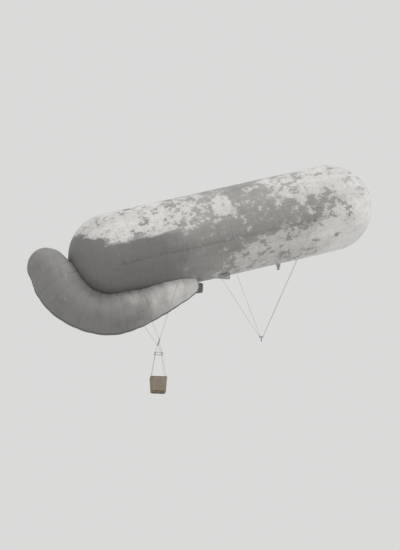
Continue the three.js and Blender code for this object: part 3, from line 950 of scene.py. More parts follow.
@dataclass
class GasBag:
    """The long gas bag: its true round form, pulled in at its seams and out where the rigging holds."""

    finish: Material
    tape: Material
    radius: float = GAS_BAG_RADIUS
    cylinder: float = 17.6
    bands: int = 26
    band_shares: Row = (0.0, 0.028, 0.075, 0.15, 0.27, 0.42, 0.58, 0.73, 0.85, 0.925, 0.972)
    gores: int = 24
    gore_shares: Row = (0.0, 0.028, 0.08, 0.16, 0.3, 0.5, 0.7, 0.84, 0.92, 0.972)
    band_pillow: float = 0.018
    gore_pillow: float = 0.008
    slack: float = 0.008
    valve_hole: float = 0.325
    girdle_below: float = math.radians(30.0)
    girdle_ends: Pair = (0.4, 0.9)
    girdle_bite: float = 0.018
    bite_width: float = 0.2
    pucker: float = 0.004
    legs: Row = tuple(sorted(LEGS.values()))
    foot_rise: float = 0.026
    foot_width: float = 0.55
    fan_folds: int = 9
    fan_depth: float = 0.011
    fan_reach: float = 0.6
    ring_tape: float = 0.06
    line_tape: float = 0.05
    patch_count: int = 22

    @property
    def quarter(self) -> float:
        """Arc length of a quarter turn, from a pole to the cylinder."""
        return self.radius * math.pi / 2

    @property
    def arc(self) -> float:
        """Length over the skin from the stern's pole to the nose's pole."""
        return 2 * self.quarter + self.cylinder

    @property
    def rows(self) -> Array:
        """Distances over the skin of the fabric's rows of points, closer together at the seams."""
        places = np.add.outer(np.arange(self.bands), self.band_shares).ravel()
        return np.append(places, self.bands) * self.arc / self.bands

    @property
    def turns(self) -> Array:
        """Turns of the fabric's columns of points, up from port, closer together at the seams."""
        places = np.add.outer(np.arange(self.gores), self.gore_shares).ravel()
        return places / self.gores * 2 * math.pi

    def girdle_turn(self, side: Side) -> float:
        """Turn at which a side's girdle band lies."""
        return -self.girdle_below if side is Side.PORT else math.pi + self.girdle_below

    def section(self, arc: Array) -> tuple[Array, Array, Array, Array]:
        """The bag's outline.

        Args:
            arc: Distance over the skin from the stern's pole.

        Returns:
            The distance along the axis from the origin, the radius, and the normal's two parts.
        """
        stern = np.clip(arc, 0, self.quarter) / self.radius
        nose = np.clip(arc - self.quarter - self.cylinder, 0, self.quarter) / self.radius
        straight = np.clip(arc - self.quarter, 0, self.cylinder)
        reach = np.sin(stern) * np.cos(nose)
        ahead = np.sin(nose) - np.cos(stern)
        x = -self.cylinder / 2 + straight + self.radius * ahead
        return x, self.radius * reach, ahead, reach

    def _pull(self, along: Array, off: Array) -> Array:
        """How far the fabric gives round the girdle and the feet of the legs.

        Args:
            along: Distance ahead of the stern hemisphere's centre.
            off: Distance over the skin from the girdle's middle line.

        Returns:
            The distance outwards.
        """
        on_band = (along > -self.girdle_ends[0]) & (along < self.cylinder - self.girdle_ends[1])
        out = -self.girdle_bite * np.exp(-((off / self.bite_width) ** 2)) * on_band
        waves = np.sin(along * 7.3) + np.sin(along * 11.9 + 1.0)
        out = out + self.pucker * waves * np.exp(-((np.abs(off) - 0.35) / 0.22) ** 2) * on_band
        for leg in self.legs:
            near = np.hypot(along - leg, off)
            folds = np.cos(self.fan_folds * np.arctan2(off, along - leg))
            fan = folds * np.exp(-near / self.fan_reach) * np.clip(near / 0.3, 0, 1)
            out = out + self.foot_rise * np.exp(-((near / self.foot_width) ** 2)) + self.fan_depth * fan
        return out

    def _billow(self, arc: Array, angle: Array) -> Array:
        """How far the fabric stands out from its true round form at its rows and columns of points.

        Args:
            arc: Distance over the skin from the stern's pole.
            angle: Turn from port, upwards.

        Returns:
            The distance outwards.
        """
        _, radius, _, reach = self.section(arc)
        along = arc - self.quarter
        band = np.abs(np.sin(math.pi * arc / (self.arc / self.bands))) ** 0.55
        gore = np.abs(np.sin(angle * self.gores / 2)) ** 0.7
        out = self.band_pillow * (band - 1) * reach + self.gore_pillow * (gore - 1) * reach
        waves = np.sin(along * 0.9 + 2.0 * np.cos(angle)) * np.cos(3 * angle + along * 0.31)
        out = out + self.slack * waves * reach
        for side in Side:
            off = np.angle(np.exp(1j * (angle - self.girdle_turn(side)))) * np.maximum(radius, 0.1)
            out = out + self._pull(along, off)
        return out

    @cached_property
    def _grid(self) -> tuple[Array, Array, Array]:
        """The fabric's rows, columns and how far it stands out at each."""
        rows, turns = self.rows, np.append(self.turns, 2 * math.pi)
        return rows, turns, self._billow(rows[:, None], turns[None, :])

    def relief(self, arc: Array, angle: Array) -> Array:
        """How far the fabric's faces stand out from its true round form.

        Args:
            arc: Distance over the skin from the stern's pole.
            angle: Turn from port, upwards.

        Returns:
            The distance outwards.
        """
        rows, turns, grid = self._grid
        angle = np.mod(angle, 2 * math.pi)
        row = np.clip(np.searchsorted(rows, arc, side="right") - 1, 0, len(rows) - 2)
        column = np.clip(np.searchsorted(turns, angle, side="right") - 1, 0, len(turns) - 2)
        down = np.clip((arc - rows[row]) / (rows[row + 1] - rows[row]), 0, 1)
        over = np.clip((angle - turns[column]) / (turns[column + 1] - turns[column]), 0, 1)
        near = grid[row, column] * (1 - over) + grid[row, column + 1] * over
        far = grid[row + 1, column] * (1 - over) + grid[row + 1, column + 1] * over
        return near + (far - near) * down

    def point(self, arc: Array, angle: Array, lift: Array | float = 0.0) -> Array:
        """Points on the fabric.

        Args:
            arc: Distance over the skin from the stern's pole.
            angle: Turn from port, upwards.
            lift: Distance outwards from the fabric.

        Returns:
            The points in the balloon's frame.
        """
        arc, angle = np.broadcast_arrays(arc, angle)
        x, radius, ahead, reach = self.section(arc)
        out = self.relief(arc, angle) + lift
        spoke = np.cos(angle)[..., None] * PORT + np.sin(angle)[..., None] * UPRIGHT
        return (x + out * ahead)[..., None] * AXIS + (radius + out * reach)[..., None] * spoke

    def settled(self, points: Array, lift: Array | float = 0.0) -> Array:
        """Points moved straight onto the fabric.

        Args:
            points: Points close to the fabric.
            lift: Distance outwards from it.

        Returns:
            The points on the fabric.
        """
        half = self.cylinder / 2
        x = points @ AXIS
        base = np.clip(x, -half, half)
        way = unit(points - base[..., None] * AXIS)
        angle = np.arctan2(way @ UPRIGHT, way @ PORT)
        ahead = np.clip(way @ AXIS, -1, 1)
        arc = self.quarter + base + half + self.radius * np.arcsin(ahead)
        return self.point(arc, angle, lift)

    def strip(
        self,
        arcs: Array | float,
        angles: Array | float,
        width: float,
        lift: float = 0.005,
        across: int = 3,
        hemmed: bool = False,
    ) -> Sheet:
        """A tape on the fabric along a line.

        Args:
            arcs: Distances over the skin along the line.
            angles: Turns along the line.
            width: The tape's width.
            lift: Its thickness.
            across: Points across it.
            hemmed: Whether its two ends come down to the fabric.

        Returns:
            The tape's surface.
        """
        arcs, angles = np.broadcast_arrays(arcs, angles)
        radius = np.maximum(self.section(arcs)[1], 0.2)
        run = unit(np.stack([np.gradient(arcs), np.gradient(angles) * radius], -1))
        if hemmed:
            hem = lift * run / np.stack([np.ones_like(radius), radius], -1)
            arcs = np.concatenate([arcs[:1] - hem[:1, 0], arcs, arcs[-1:] + hem[-1:, 0]])
            angles = np.concatenate([angles[:1] - hem[:1, 1], angles, angles[-1:] + hem[-1:, 1]])
            run, radius = np.pad(run, ((1, 1), (0, 0)), "edge"), np.pad(radius, 1, "edge")
        share = np.linspace(-1, 1, across)
        height = np.tile(tape_height(share, lift), (len(arcs), 1))
        if hemmed:
            height[[0, -1]] = lift * 0.1
        arc = arcs[:, None] - run[:, 1, None] * share * width / 2
        angle = angles[:, None] + run[:, 0, None] * share * width / 2 / radius[:, None]
        return Sheet(self.point(arc, angle, height))

    def skin(self) -> Sheet:
        """The fabric itself, open at the nose valve and inside the ballonet's mouth.

        Returns:
            The skin's surface.
        """
        last = self.arc - self.radius * math.asin(self.valve_hole / self.radius)
        arcs = np.append(self.rows[self.rows < last - 0.02], last)
        angles = self.turns
        points, hole = BALLONET_THROAT.opened(self.point(arcs[:, None], angles[None, :]), True)
        return Sheet(points, wrap=True, lay=(angles * self.radius, arcs), skip=hole)

    def tapes(self) -> list[Sheet]:
        """Tapes over the seams, round the bag and along it.

        Returns:
            The tapes.
        """
        round_it = np.append(self.turns, 2 * math.pi)
        step = self.arc / self.bands
        rings = [self.strip(k * step, round_it, self.ring_tape) for k in range(1, self.bands)]
        along = self.rows[5:-5]
        spread = [k / self.gores * 2 * math.pi for k in range(self.gores)]
        return rings + [self.strip(along, turn, self.line_tape, 0.004) for turn in spread]

    def patches(self) -> list[Sheet]:
        """Repair patches, oblong and set at random.

        Returns:
            The patches.
        """
        random = np.random.default_rng(28)
        sheets = []
        for _ in range(self.patch_count):
            arc = random.uniform(4.0, self.arc - 4.0)
            turn = random.uniform(0.0, 2 * math.pi)
            length, width = random.uniform(0.25, 0.8), random.uniform(0.2, 0.45)
            sheets.append(self.strip(np.linspace(arc, arc + length, 25), turn, width, 0.006, 13, True))
        return sheets

    def make(self) -> None:
        """Builds the gas bag."""
        build("gas_bag_skin", [self.skin()], self.finish, "balloon", ["envelope"])
        build("gas_bag_seam_tapes", self.tapes(), self.tape, "balloon")
        build("gas_bag_patches", self.patches(), self.tape, "balloon")


# Bands and patches on the gas bag


@dataclass
class Girdle:
    """A band along one side, with toggles, their patches and the feet of the rigging."""

    gas_bag: GasBag
    side: Side
    web: Material
    timber: Material
    start: float = -0.1
    stop: float = 16.4
    width: float = WEB_WIDTH
    thickness: float = 0.012
    proud: float = 0.018
    doubling_reach: float = 1.3
    doubling_width: float = 0.12
    doubling: float = 0.006
    finger_start: float = 0.08
    finger_width: float = 0.07
    finger: float = 0.007
    toggle_radius: float = 0.024
    foot_spread: Row = (-1.15, -0.6, 0.6, 1.15)

    def foot_places(self, leg: float) -> list[float]:
        """Places along the band at which a leg's branch lines start."""
        places = [leg + spread for spread in self.foot_spread]
        return [place for place in places if self.start + 0.1 < place < self.stop - 0.1]

    def spot(self, along: float) -> Array:
        """The point beside the band that a line at this place starts from.

        Args:
            along: Distance ahead of the stern hemisphere's centre.

        Returns:
            The point in the balloon's frame.
        """
        reach = self.gas_bag.radius + self.thickness + self.proud
        turn = self.gas_bag.girdle_turn(self.side)
        spoke = math.cos(turn) * PORT + math.sin(turn) * UPRIGHT
        return (along - self.gas_bag.cylinder / 2) * AXIS + reach * spoke

    def band(self) -> list[Sheet]:
        """The band, doubled under each leg.

        Returns:
            Its surfaces.
        """
        bag = self.gas_bag
        turn = bag.girdle_turn(self.side)
        arcs = bag.quarter + np.linspace(self.start, self.stop, 331)
        sheets = [bag.strip(arcs, turn, self.width, self.thickness, 9)]
        for leg in bag.legs:
            ends = np.clip([leg - self.doubling_reach, leg + self.doubling_reach], self.start, self.stop)
            arcs = bag.quarter + np.linspace(*ends, 41)
            height = self.thickness + self.doubling
            sheets.append(bag.strip(arcs, turn, self.doubling_width, height, 5, True))
        return sheets

    def fingers(self) -> list[Sheet]:
        """Finger patches that spread each foot's pull over the fabric above the band.

        Returns:
            The patches.
        """
        bag = self.gas_bag
        upward = self.side.value
        turn = bag.girdle_turn(self.side)
        sheets = []
        for leg in bag.legs:
            fans = [(leg, lean, 0.95) for lean in (-0.9, -0.45, 0.0, 0.45, 0.9)]
            fans += [(place, lean, 0.55) for place in self.foot_places(leg) for lean in (-0.4, 0.4)]
            for place, lean, length in fans:
                reach = np.linspace(self.finger_start, length, 25)
                arcs = bag.quarter + place + reach * math.sin(lean)
                turns = turn + upward * reach * math.cos(lean) / bag.radius
                sheets.append(bag.strip(arcs, turns, self.finger_width, self.finger, 5, True))
        return sheets

    def toggles(self) -> list[Sheet]:
        """Wooden toggles that the lines are looped over.

        Returns:
            The toggles.
        """
        sheets = []
        half = [(0.78, 0.0), (1.0, 0.015), (0.85, 0.04), (0.5, 0.052), (0.0, 0.055)]
        profile = [(r, -h) for r, h in reversed(half[1:])] + half
        for leg in self.gas_bag.legs:
            for place in [leg, *self.foot_places(leg)]:
                size = 1.0 if place == leg else 0.65
                rows = [(r * self.toggle_radius * size, h * size) for r, h in profile]
                sheets.append(turned(rows, self.spot(place), AXIS, 14))
        return sheets

    def make(self) -> None:
        """Builds the band."""
        word = self.side.word
        build(f"girdle_band_{word}", self.band(), self.web, "balloon", [f"girdle_{word}"])
        build(f"girdle_fingers_{word}", self.fingers(), self.web, "balloon")
        build(f"girdle_toggles_{word}", self.toggles(), self.timber, "balloon")


@dataclass
class RippingPanel:
    """The panel on top that is torn off to empty the gas bag."""

    gas_bag: GasBag
    web: Material
    edging: Material
    cord: Material
    start: float = 10.4
    stop: float = 15.4
    width: float = 0.52
    thickness: float = 0.008
    side_edging: Pair = (EDGING_WIDTH, 0.011)
    end_edging: Pair = (0.08, 0.012)
    cord_radius: float = 0.006
    cord_rise: float = 0.022

    def make(self) -> None:
        """Builds the panel, its edging and its cord."""
        bag, top = self.gas_bag, math.pi / 2
        half = self.width / 2 / bag.radius
        arcs = bag.quarter + np.linspace(self.start, self.stop, 121)
        panel = bag.strip(arcs, top, self.width, self.thickness, 11, True)
        build("ripping_panel_web", [panel], self.web, "balloon", ["ripping_panel"])
        edging = [bag.strip(arcs, top + side.value * half, *self.side_edging) for side in Side]
        over = top + np.linspace(-1, 1, 13) * half
        edging += [bag.strip(end, over, *self.end_edging) for end in (arcs[0], arcs[-1])]
        build("ripping_panel_edging", edging, self.edging, "balloon")
        path = bag.point(arcs, top + 0.02 * np.sin(arcs * 2.1), self.cord_rise)
        build("ripping_cord", [sweep(path, circle(6, self.cord_radius))], self.cord, "balloon")


# Steering bag


@dataclass
class SteeringBag:
    """The crescent-shaped air bag round the stern, sewn to the gas bag along its edge."""

    gas_bag: GasBag
    finish: Material
    tape: Material
    keel: Material
    sections: tuple[tuple[float, float, float], ...] = (
        (5.55, -3.64, 0.66), (4.75, -3.68, 0.96), (3.38, -3.93, 1.19), (1.65, -4.34, 1.34),
        (0.08, -4.48, 1.57), (-1.62, -4.41, 1.58), (-3.17, -3.53, 1.64), (-4.14, -2.24, 1.80),
        (-4.62, -0.93, 1.86), (-4.99, 0.14, 1.57),
    )
    nose_dome: float = 0.28
    nose_rings: int = 44
    tail_dome: float = 1.73
    tail_rings: int = 26
    stations: int = 170
    columns: int = 97
    panel: float = STEERING_PANEL
    tape_rows: Row = (-0.03, 0.0, 0.03)
    tape_lifts: Row = (0.001, 0.013, 0.001)
    half_girth: float = STEERING_HALF_GIRTH
    touching: float = 0.05
    seam_depth: float = 0.034
    lines: Row = (-1.9, -1.25, -0.62, 0.62, 1.25, 1.9)
    line_depth: float = 0.012
    line_width: float = 0.07
    tuck_depth: float = 0.028
    tuck_pitch: float = 0.52
    tuck_reach: float = 0.40
    slack: float = 0.016
    keel_half: float = KEEL_WIDTH / 2
    keel_thickness: float = 0.008
    joining_width: float = 0.08
    joining_shares: Row = (1.0, 0.75, 0.5, 0.25)
    joining_lifts: Row = (0.001, 0.007, 0.009, 0.012)

    def _followed(self, at: Array) -> tuple[Array, Array]:
        """A smooth curve through the sections.

        Args:
            at: Places on the curve, counted in sections.

        Returns:
            The curve's values (centre along the axis and over it, radius) and its slopes.
        """
        rows = np.array(self.sections)
        rows[:, 0] -= self.gas_bag.cylinder / 2
        padded = np.concatenate([[2 * rows[0] - rows[1]], rows, [2 * rows[-1] - rows[-2]]])
        index = np.minimum(at.astype(int), len(rows) - 2)
        t = (at - index)[:, None]
        a, b, c, d = (padded[index + k] for k in range(4))
        bend, twist = 2 * a - 5 * b + 4 * c - d, 3 * b - a - 3 * c + d
        value = 0.5 * (2 * b + (c - a) * t + bend * t**2 + twist * t**3)
        slope = 0.5 * ((c - a) + 2 * bend * t + 3 * twist * t**2)
        return value, slope

    def spine(self) -> tuple[Array, Array, Array]:
        """The bag's sections.

        Returns:
            Centres (along the axis from the origin, over the axis), headings and radii.
        """
        at = np.linspace(0, len(self.sections) - 1, self.stations)
        length = self.nose_dome + run_lengths(self._followed(at)[0][:, :2])
        seams = np.add.outer(np.arange(1, length[-1] / self.panel) * self.panel, self.tape_rows).ravel()
        at = np.union1d(at, np.interp(seams, length, at))
        value, slope = self._followed(at)
        centre, radius, heading = value[:, :2], value[:, 2], unit(slope[:, :2])
        domes = []
        ends = ((0, -self.nose_dome, self.nose_rings), (-1, self.tail_dome, self.tail_rings))
        for end, reach, count in ends:
            turn = np.arange(1, count + 1) / count * math.pi / 2
            place = centre[end] + (reach * np.sin(turn))[:, None] * heading[end]
            domes.append((place, np.tile(heading[end], (count, 1)), radius[end] * np.cos(turn)))
        nose, tail = domes
        centre = np.concatenate([nose[0][::-1], centre, tail[0]])
        heading = np.concatenate([nose[1], heading, tail[1]])
        return centre, heading, np.concatenate([nose[2][::-1], radius, tail[2]])

    def raw(self, centre: Array, heading: Array, radius: Array, turn: Array) -> Array:
        """Points round the sections.

        Args:
            centre: Centres along the axis and over it.
            heading: The spine's headings.
            radius: Radii.
            turn: Turns from the outermost line, to port.

        Returns:
            The points in the balloon's frame.
        """
        out = radius * np.cos(turn)
        x = centre[..., 0] - heading[..., 1] * out
        n = centre[..., 1] + heading[..., 0] * out
        return x[..., None] * AXIS + (radius * np.sin(turn))[..., None] * PORT + n[..., None] * UPRIGHT

    def clearance(self, points: Array) -> Array:
        """Distance from the gas bag's true round form to each point.

        Args:
            points: The points.

        Returns:
            The distances, less than 0 inside it.
        """
        half = self.gas_bag.cylinder / 2
        x = points @ AXIS
        radial = np.hypot(points @ PORT, points @ UPRIGHT)
        return np.hypot(x - np.clip(x, -half, half), radial) - self.gas_bag.radius

    @cached_property
    def spread(self) -> tuple[Array, Array, Array, Array, Array]:
        """The sections with the turn at which each meets the gas bag.

        Returns:
            Centres, headings, radii, the meeting turns and the distances along the spine.
        """
        centre, heading, radius = self.spine()
        scan = np.linspace(0, math.pi, 1441)
        points = self.raw(centre[:, None], heading[:, None], radius[:, None], scan[None])
        inside = self.clearance(points) < 0.0
        first = np.where(inside.any(1), inside.argmax(1), len(scan) - 1)
        return centre, heading, radius, scan[first], run_lengths(centre)

    def relief(self, length: Array, turn: Array, edge: Array, radius: Array) -> Array:
        """How far the fabric stands out from its plain sections.

        Args:
            length: Distance along the spine.
            turn: Turn from the outermost line.
            edge: The turn at which the section meets the gas bag.
            radius: The section's radius.

        Returns:
            The distance outwards.
        """
        size = np.clip(radius / 1.2, 0, 1)
        seam = np.abs(np.sin(math.pi * length / self.panel)) ** 0.6
        out = self.seam_depth * (seam - 1) * size
        for line in self.lines:
            out = out - self.line_depth * np.exp(-(((turn - line) * radius / self.line_width) ** 2)) * size
        away = np.maximum(edge - np.abs(turn), 0) * radius
        held = np.clip((math.pi - edge) / 0.5, 0, 1)
        drift = 1.2 * np.sin(length * 1.3)
        phase = 2 * math.pi * length / self.tuck_pitch + drift + np.where(turn > 0, 0.9, 0.0)
        tucks = np.sin(phase) * np.exp(-away / self.tuck_reach) * np.clip(away / 0.1, 0, 1)
        waves = np.sin(length * 2.4 + turn * 3.1) * np.sin(length * 0.8 - turn * 2.2)
        out = out + self.tuck_depth * tucks * held * size
        return out + self.slack * waves * size * np.clip(away / 0.5, 0, 1)

    def surface(self, turns: Callable[[Array], Array], lift: Array | float = 0.0) -> Array:
        """Points on the bag's fabric.

        Args:
            turns: Gives each station's turns, from its meeting turn.
            lift: Distance outwards from the fabric.

        Returns:
            Stations by columns by 3.
        """
        centre, heading, radius, edge, length = self.spread
        turn = turns(edge)
        out = self.relief(length[:, None], turn, edge[:, None], radius[:, None]) + lift
        return self.raw(centre[:, None], heading[:, None], np.maximum(radius[:, None] + out, 0.0), turn)

    def skin(self) -> Sheet:
        """The bag's fabric from edge to edge, open inside the mouth.

        Returns:
            The skin's surface.
        """
        share = np.linspace(-1, 1, self.columns)
        points = self.surface(lambda edge: edge[:, None] * share[None])
        _, _, _, edge, length = self.spread
        snout = np.arange(len(edge)) < self.nose_rings
        held = (edge < math.pi - 0.02) | (snout & (self.clearance(points[:, 0]) < self.touching))
        for column in (0, -1):
            points[held, column] = self.gas_bag.settled(points[held, column], -0.004)
        points, hole = STEERING_THROAT.opened(points, False)
        return Sheet(points, skip=hole, lay=(share * self.half_girth, length))

    def keel_band(self) -> Sheet:
        """The doubled band along the bag's outermost line.

        Returns:
            The band.
        """
        share = np.linspace(-1, 1, 7)
        _, _, radius, _, _ = self.spread
        half = self.keel_half / np.maximum(radius, 0.35)
        lift = tape_height(share, self.keel_thickness)
        points = self.surface(lambda edge: half[:, None] * share[None], lift[None])
        points, hole = STEERING_THROAT.opened(points[self.nose_rings // 2 :], False)
        return Sheet(points, skip=hole)

    def seam_tapes(self) -> list[Sheet]:
        """Tapes over the panel seams, from edge to edge.

        Returns:
            The tapes.
        """
        centre, heading, radius, edge, length = self.spread
        share = np.linspace(-1, 1, self.columns)[1:-1]
        sheets = []
        for k in range(1, int(length[-1] / self.panel) + 1):
            if np.interp(k * self.panel, length, radius) < 0.4:
                continue
            rows = []
            for offset, lift in zip(self.tape_rows, self.tape_lifts):
                spot = k * self.panel + offset
                mid, way = read_off(centre, length, spot), unit(read_off(heading, length, spot))
                size, reach = np.interp(spot, length, radius), np.interp(spot, length, edge)
                turn = reach * share
                beside_keel = np.clip((np.abs(turn) * size - self.keel_half + 0.01) / 0.05, 0, 1)
                out = self.relief(spot, turn, reach, size) + lift * beside_keel
                rows.append(self.raw(mid[None], way[None], size + out, turn))
            sheets.append(Sheet(np.stack(rows, 1)))
        return sheets

    def joining_tape(self) -> list[Sheet]:
        """The tapes that close the seam between the bag and the gas bag, on both sides.

        Returns:
            The tapes.
        """
        _, _, radius, edge, _ = self.spread
        held = (edge > 0.05) & (edge < math.pi - 0.12)
        back = self.joining_width / np.maximum(radius, 0.3)
        share, lift = np.array(self.joining_shares), np.array(self.joining_lifts)
        sheets = []
        for side in Side:
            on_bag = self.surface(lambda e: side.value * (e[:, None] - back[:, None] * share), lift)[held]
            meet = self.surface(lambda e: (side.value * e)[:, None])[held]
            over = unit(meet - on_bag[:, :1])
            rows = [(meet, 0.014), (meet + 0.05 * over, 0.004), (meet + 0.10 * over, 0.004)]
            on_gas_bag = [self.gas_bag.settled(points, height) for points, height in rows]
            sheets.append(Sheet(np.concatenate([on_bag, *on_gas_bag], 1)))
        return sheets

    def make(self) -> None:
        """Builds the steering bag."""
        skin = [self.skin()]
        build("steering_bag_skin", skin, self.finish, "balloon", ["steering_bag"], 1e-3)
        build("steering_bag_keel_band", [self.keel_band()], self.keel, "balloon", (), 1e-4)
        build("steering_bag_seam_tapes", self.seam_tapes(), self.tape, "balloon")
        build("steering_bag_joining_tape", self.joining_tape(), self.tape, "balloon")


# Mouths, valve and neck


@dataclass
class WindMouth:
    """A fabric sleeve that faces the wind, gathered on a hoop."""

    name: str
    throat: Throat
    radius: float
    root_radius: float
    finish: Material
    timber: Material
    cord: Material
    slot: str
    hoop_node: str
    sleeve_nodes: tuple[str, ...] = ()
    collar: Material | None = None
    collar_start: float = 0.012
    collar_reach: float = 0.70
    collar_lift: float = 0.004
    pleats: int = 30
    pleat_depth: float = 0.013
    billow: float = 0.012
    lip: float = 0.004
    hem: float = 0.006
    hoop: float = 0.014
    lacing: float = 0.003
    lacing_turns: int = 48
    inner_depth: float = 0.5
    inner_rows: int = 14

    def _outer(self, back: Array) -> Array:
        """The sleeve's radius at a distance behind its front."""
        return self.radius + (self.root_radius - self.radius) * back / self.throat.length

    def sleeve(self) -> Sheet:
        """The sleeve, from inside its throat round the lip and back to its root.

        Returns:
            The sleeve's surface.
        """
        ahead, over = self.throat.front
        inner = np.linspace(self.inner_depth, 0.0, self.inner_rows)
        pleated, plain = np.linspace(0.0, 0.5, 22)[1:], np.linspace(0.5, self.throat.length, 12)[1:]
        outer = np.concatenate([pleated, plain])
        back = np.concatenate([inner, [-self.lip], outer])
        lining = self._outer(inner) - 2 * self.hem
        radius = np.concatenate([lining, [self.radius - self.hem], self._outer(outer)])
        turn = around(240)
        depth = self.pleat_depth * np.exp(-np.abs(back - 0.09) / 0.10) * np.clip(back / 0.04, 0, 1)
        billow = self.billow * np.clip(back / 0.3, 0, 1)
        pleat = depth[:, None] * (np.cos(self.pleats * turn) + 1)[None]
        soft = billow[:, None] * np.sin(5 * turn[None] + 6 * back[:, None])
        reach = radius[:, None] + pleat + soft
        x = np.broadcast_to(ahead - back[:, None], reach.shape)
        points = np.stack([x, reach * np.cos(turn), over + reach * np.sin(turn)], -1)
        return Sheet(points, wrap=True)

    def doubling(self) -> Sheet:
        """A dark band of fabric laid over the sleeve behind the lip.

        Returns:
            The collar's surface.
        """
        ahead, over = self.throat.front
        outer = self.sleeve().points[self.inner_rows + 1 :]
        back = ahead - outer[:, 0, 0]
        rows = outer[(back > self.collar_start) & (back < self.collar_reach)]
        out = unit((rows - [0.0, 0.0, over]) * [0.0, 1.0, 1.0])
        return Sheet(rows + self.collar_lift * out, wrap=True)

    def make(self) -> None:
        """Builds the sleeve, its hoop and the hoop's lacing."""
        build(f"{self.name}_sleeve", [self.sleeve()], self.finish, "balloon", self.sleeve_nodes)
        if self.collar:
            build(f"{self.name}_collar", [self.doubling()], self.collar, "balloon")
        ahead, over = self.throat.front
        centre = (ahead + self.hoop + 0.0005, 0.0, over)
        path = ring_path(centre, self.radius - self.hoop / 2, AHEAD, 96)
        rim = sweep(path, circle(14, self.hoop), closed=True)
        build(f"{self.name}_hoop_timber", [rim], self.timber, "balloon", [self.hoop_node])
        lacing = lacing_cord(path, self.hoop + 0.002, self.lacing_turns, self.lacing)
        build(f"{self.name}_lacing", [lacing], self.cord, "balloon")


@dataclass
class MouthFlap:
    """The light flap that closes the steering bag's mouth when the wind drops."""

    web: Material
    timber: Material
    iron: Material
    battens: Row = (0.11, -0.11)
    front: Pair = STEERING_THROAT.front
    radius: float = 0.296
    setback: float = 0.024
    half_thickness: float = 0.0027
    hem: float = 0.0048

    @property
    def centre(self) -> tuple[float, float, float]:
        """The flap's middle."""
        return (self.front[0] - self.setback, 0.0, self.front[1])

    def cloth(self) -> list[Sheet]:
        """The flap's two faces and its hem.

        Returns:
            Their surfaces.
        """
        x, _, z = self.centre
        turn, share = around(96)[None], np.linspace(0.0, 1.0, 16)[:, None]
        wave = 0.002 * np.sin(6 * turn + 5 * share) * share
        swell = self.half_thickness + 0.0006 * np.cos(share * 3 * math.pi)
        reach = (self.radius - 0.004) * share * np.ones_like(turn)
        front, back = (
            np.stack([x + (face * swell + wave), reach * np.cos(turn), z + reach * np.sin(turn)], -1)
            for face in (1, -1)
        )
        rows = np.linspace(0.0, 2 * self.radius, 2 * len(share))
        plain = (np.full(turn.size, WEB_WIDTH / 2), rows)
        hem = wire_ring(self.centre, self.radius - 0.005, AHEAD, self.hem, 96)
        return [Sheet(np.concatenate([front, back[::-1]]), wrap=True, lay=plain), hem]

    def make(self) -> None:
        """Builds the flap, its battens and a lifting ring."""
        x, y, z = self.centre
        cloth = self.cloth()
        build("mouth_flap_cloth", cloth, self.web, "mouth_flap", ["steering_mouth_flap"])
        battens = []
        for over in self.battens:
            half = math.sqrt(self.radius**2 - over**2) - 0.03
            path = np.array([(x + 0.004, side, z + over) for side in np.linspace(-half, half, 5)])
            battens.append(sweep(path, rounded(0.026, 0.006, 0.002), up=AHEAD))
        build("mouth_flap_battens", battens, self.timber, "mouth_flap")
        ring = wire_ring((x + 0.008, y, z - 0.2), 0.022, PORT, 0.003, 20, 6)
        build("mouth_flap_ring", [ring], self.iron, "mouth_flap")


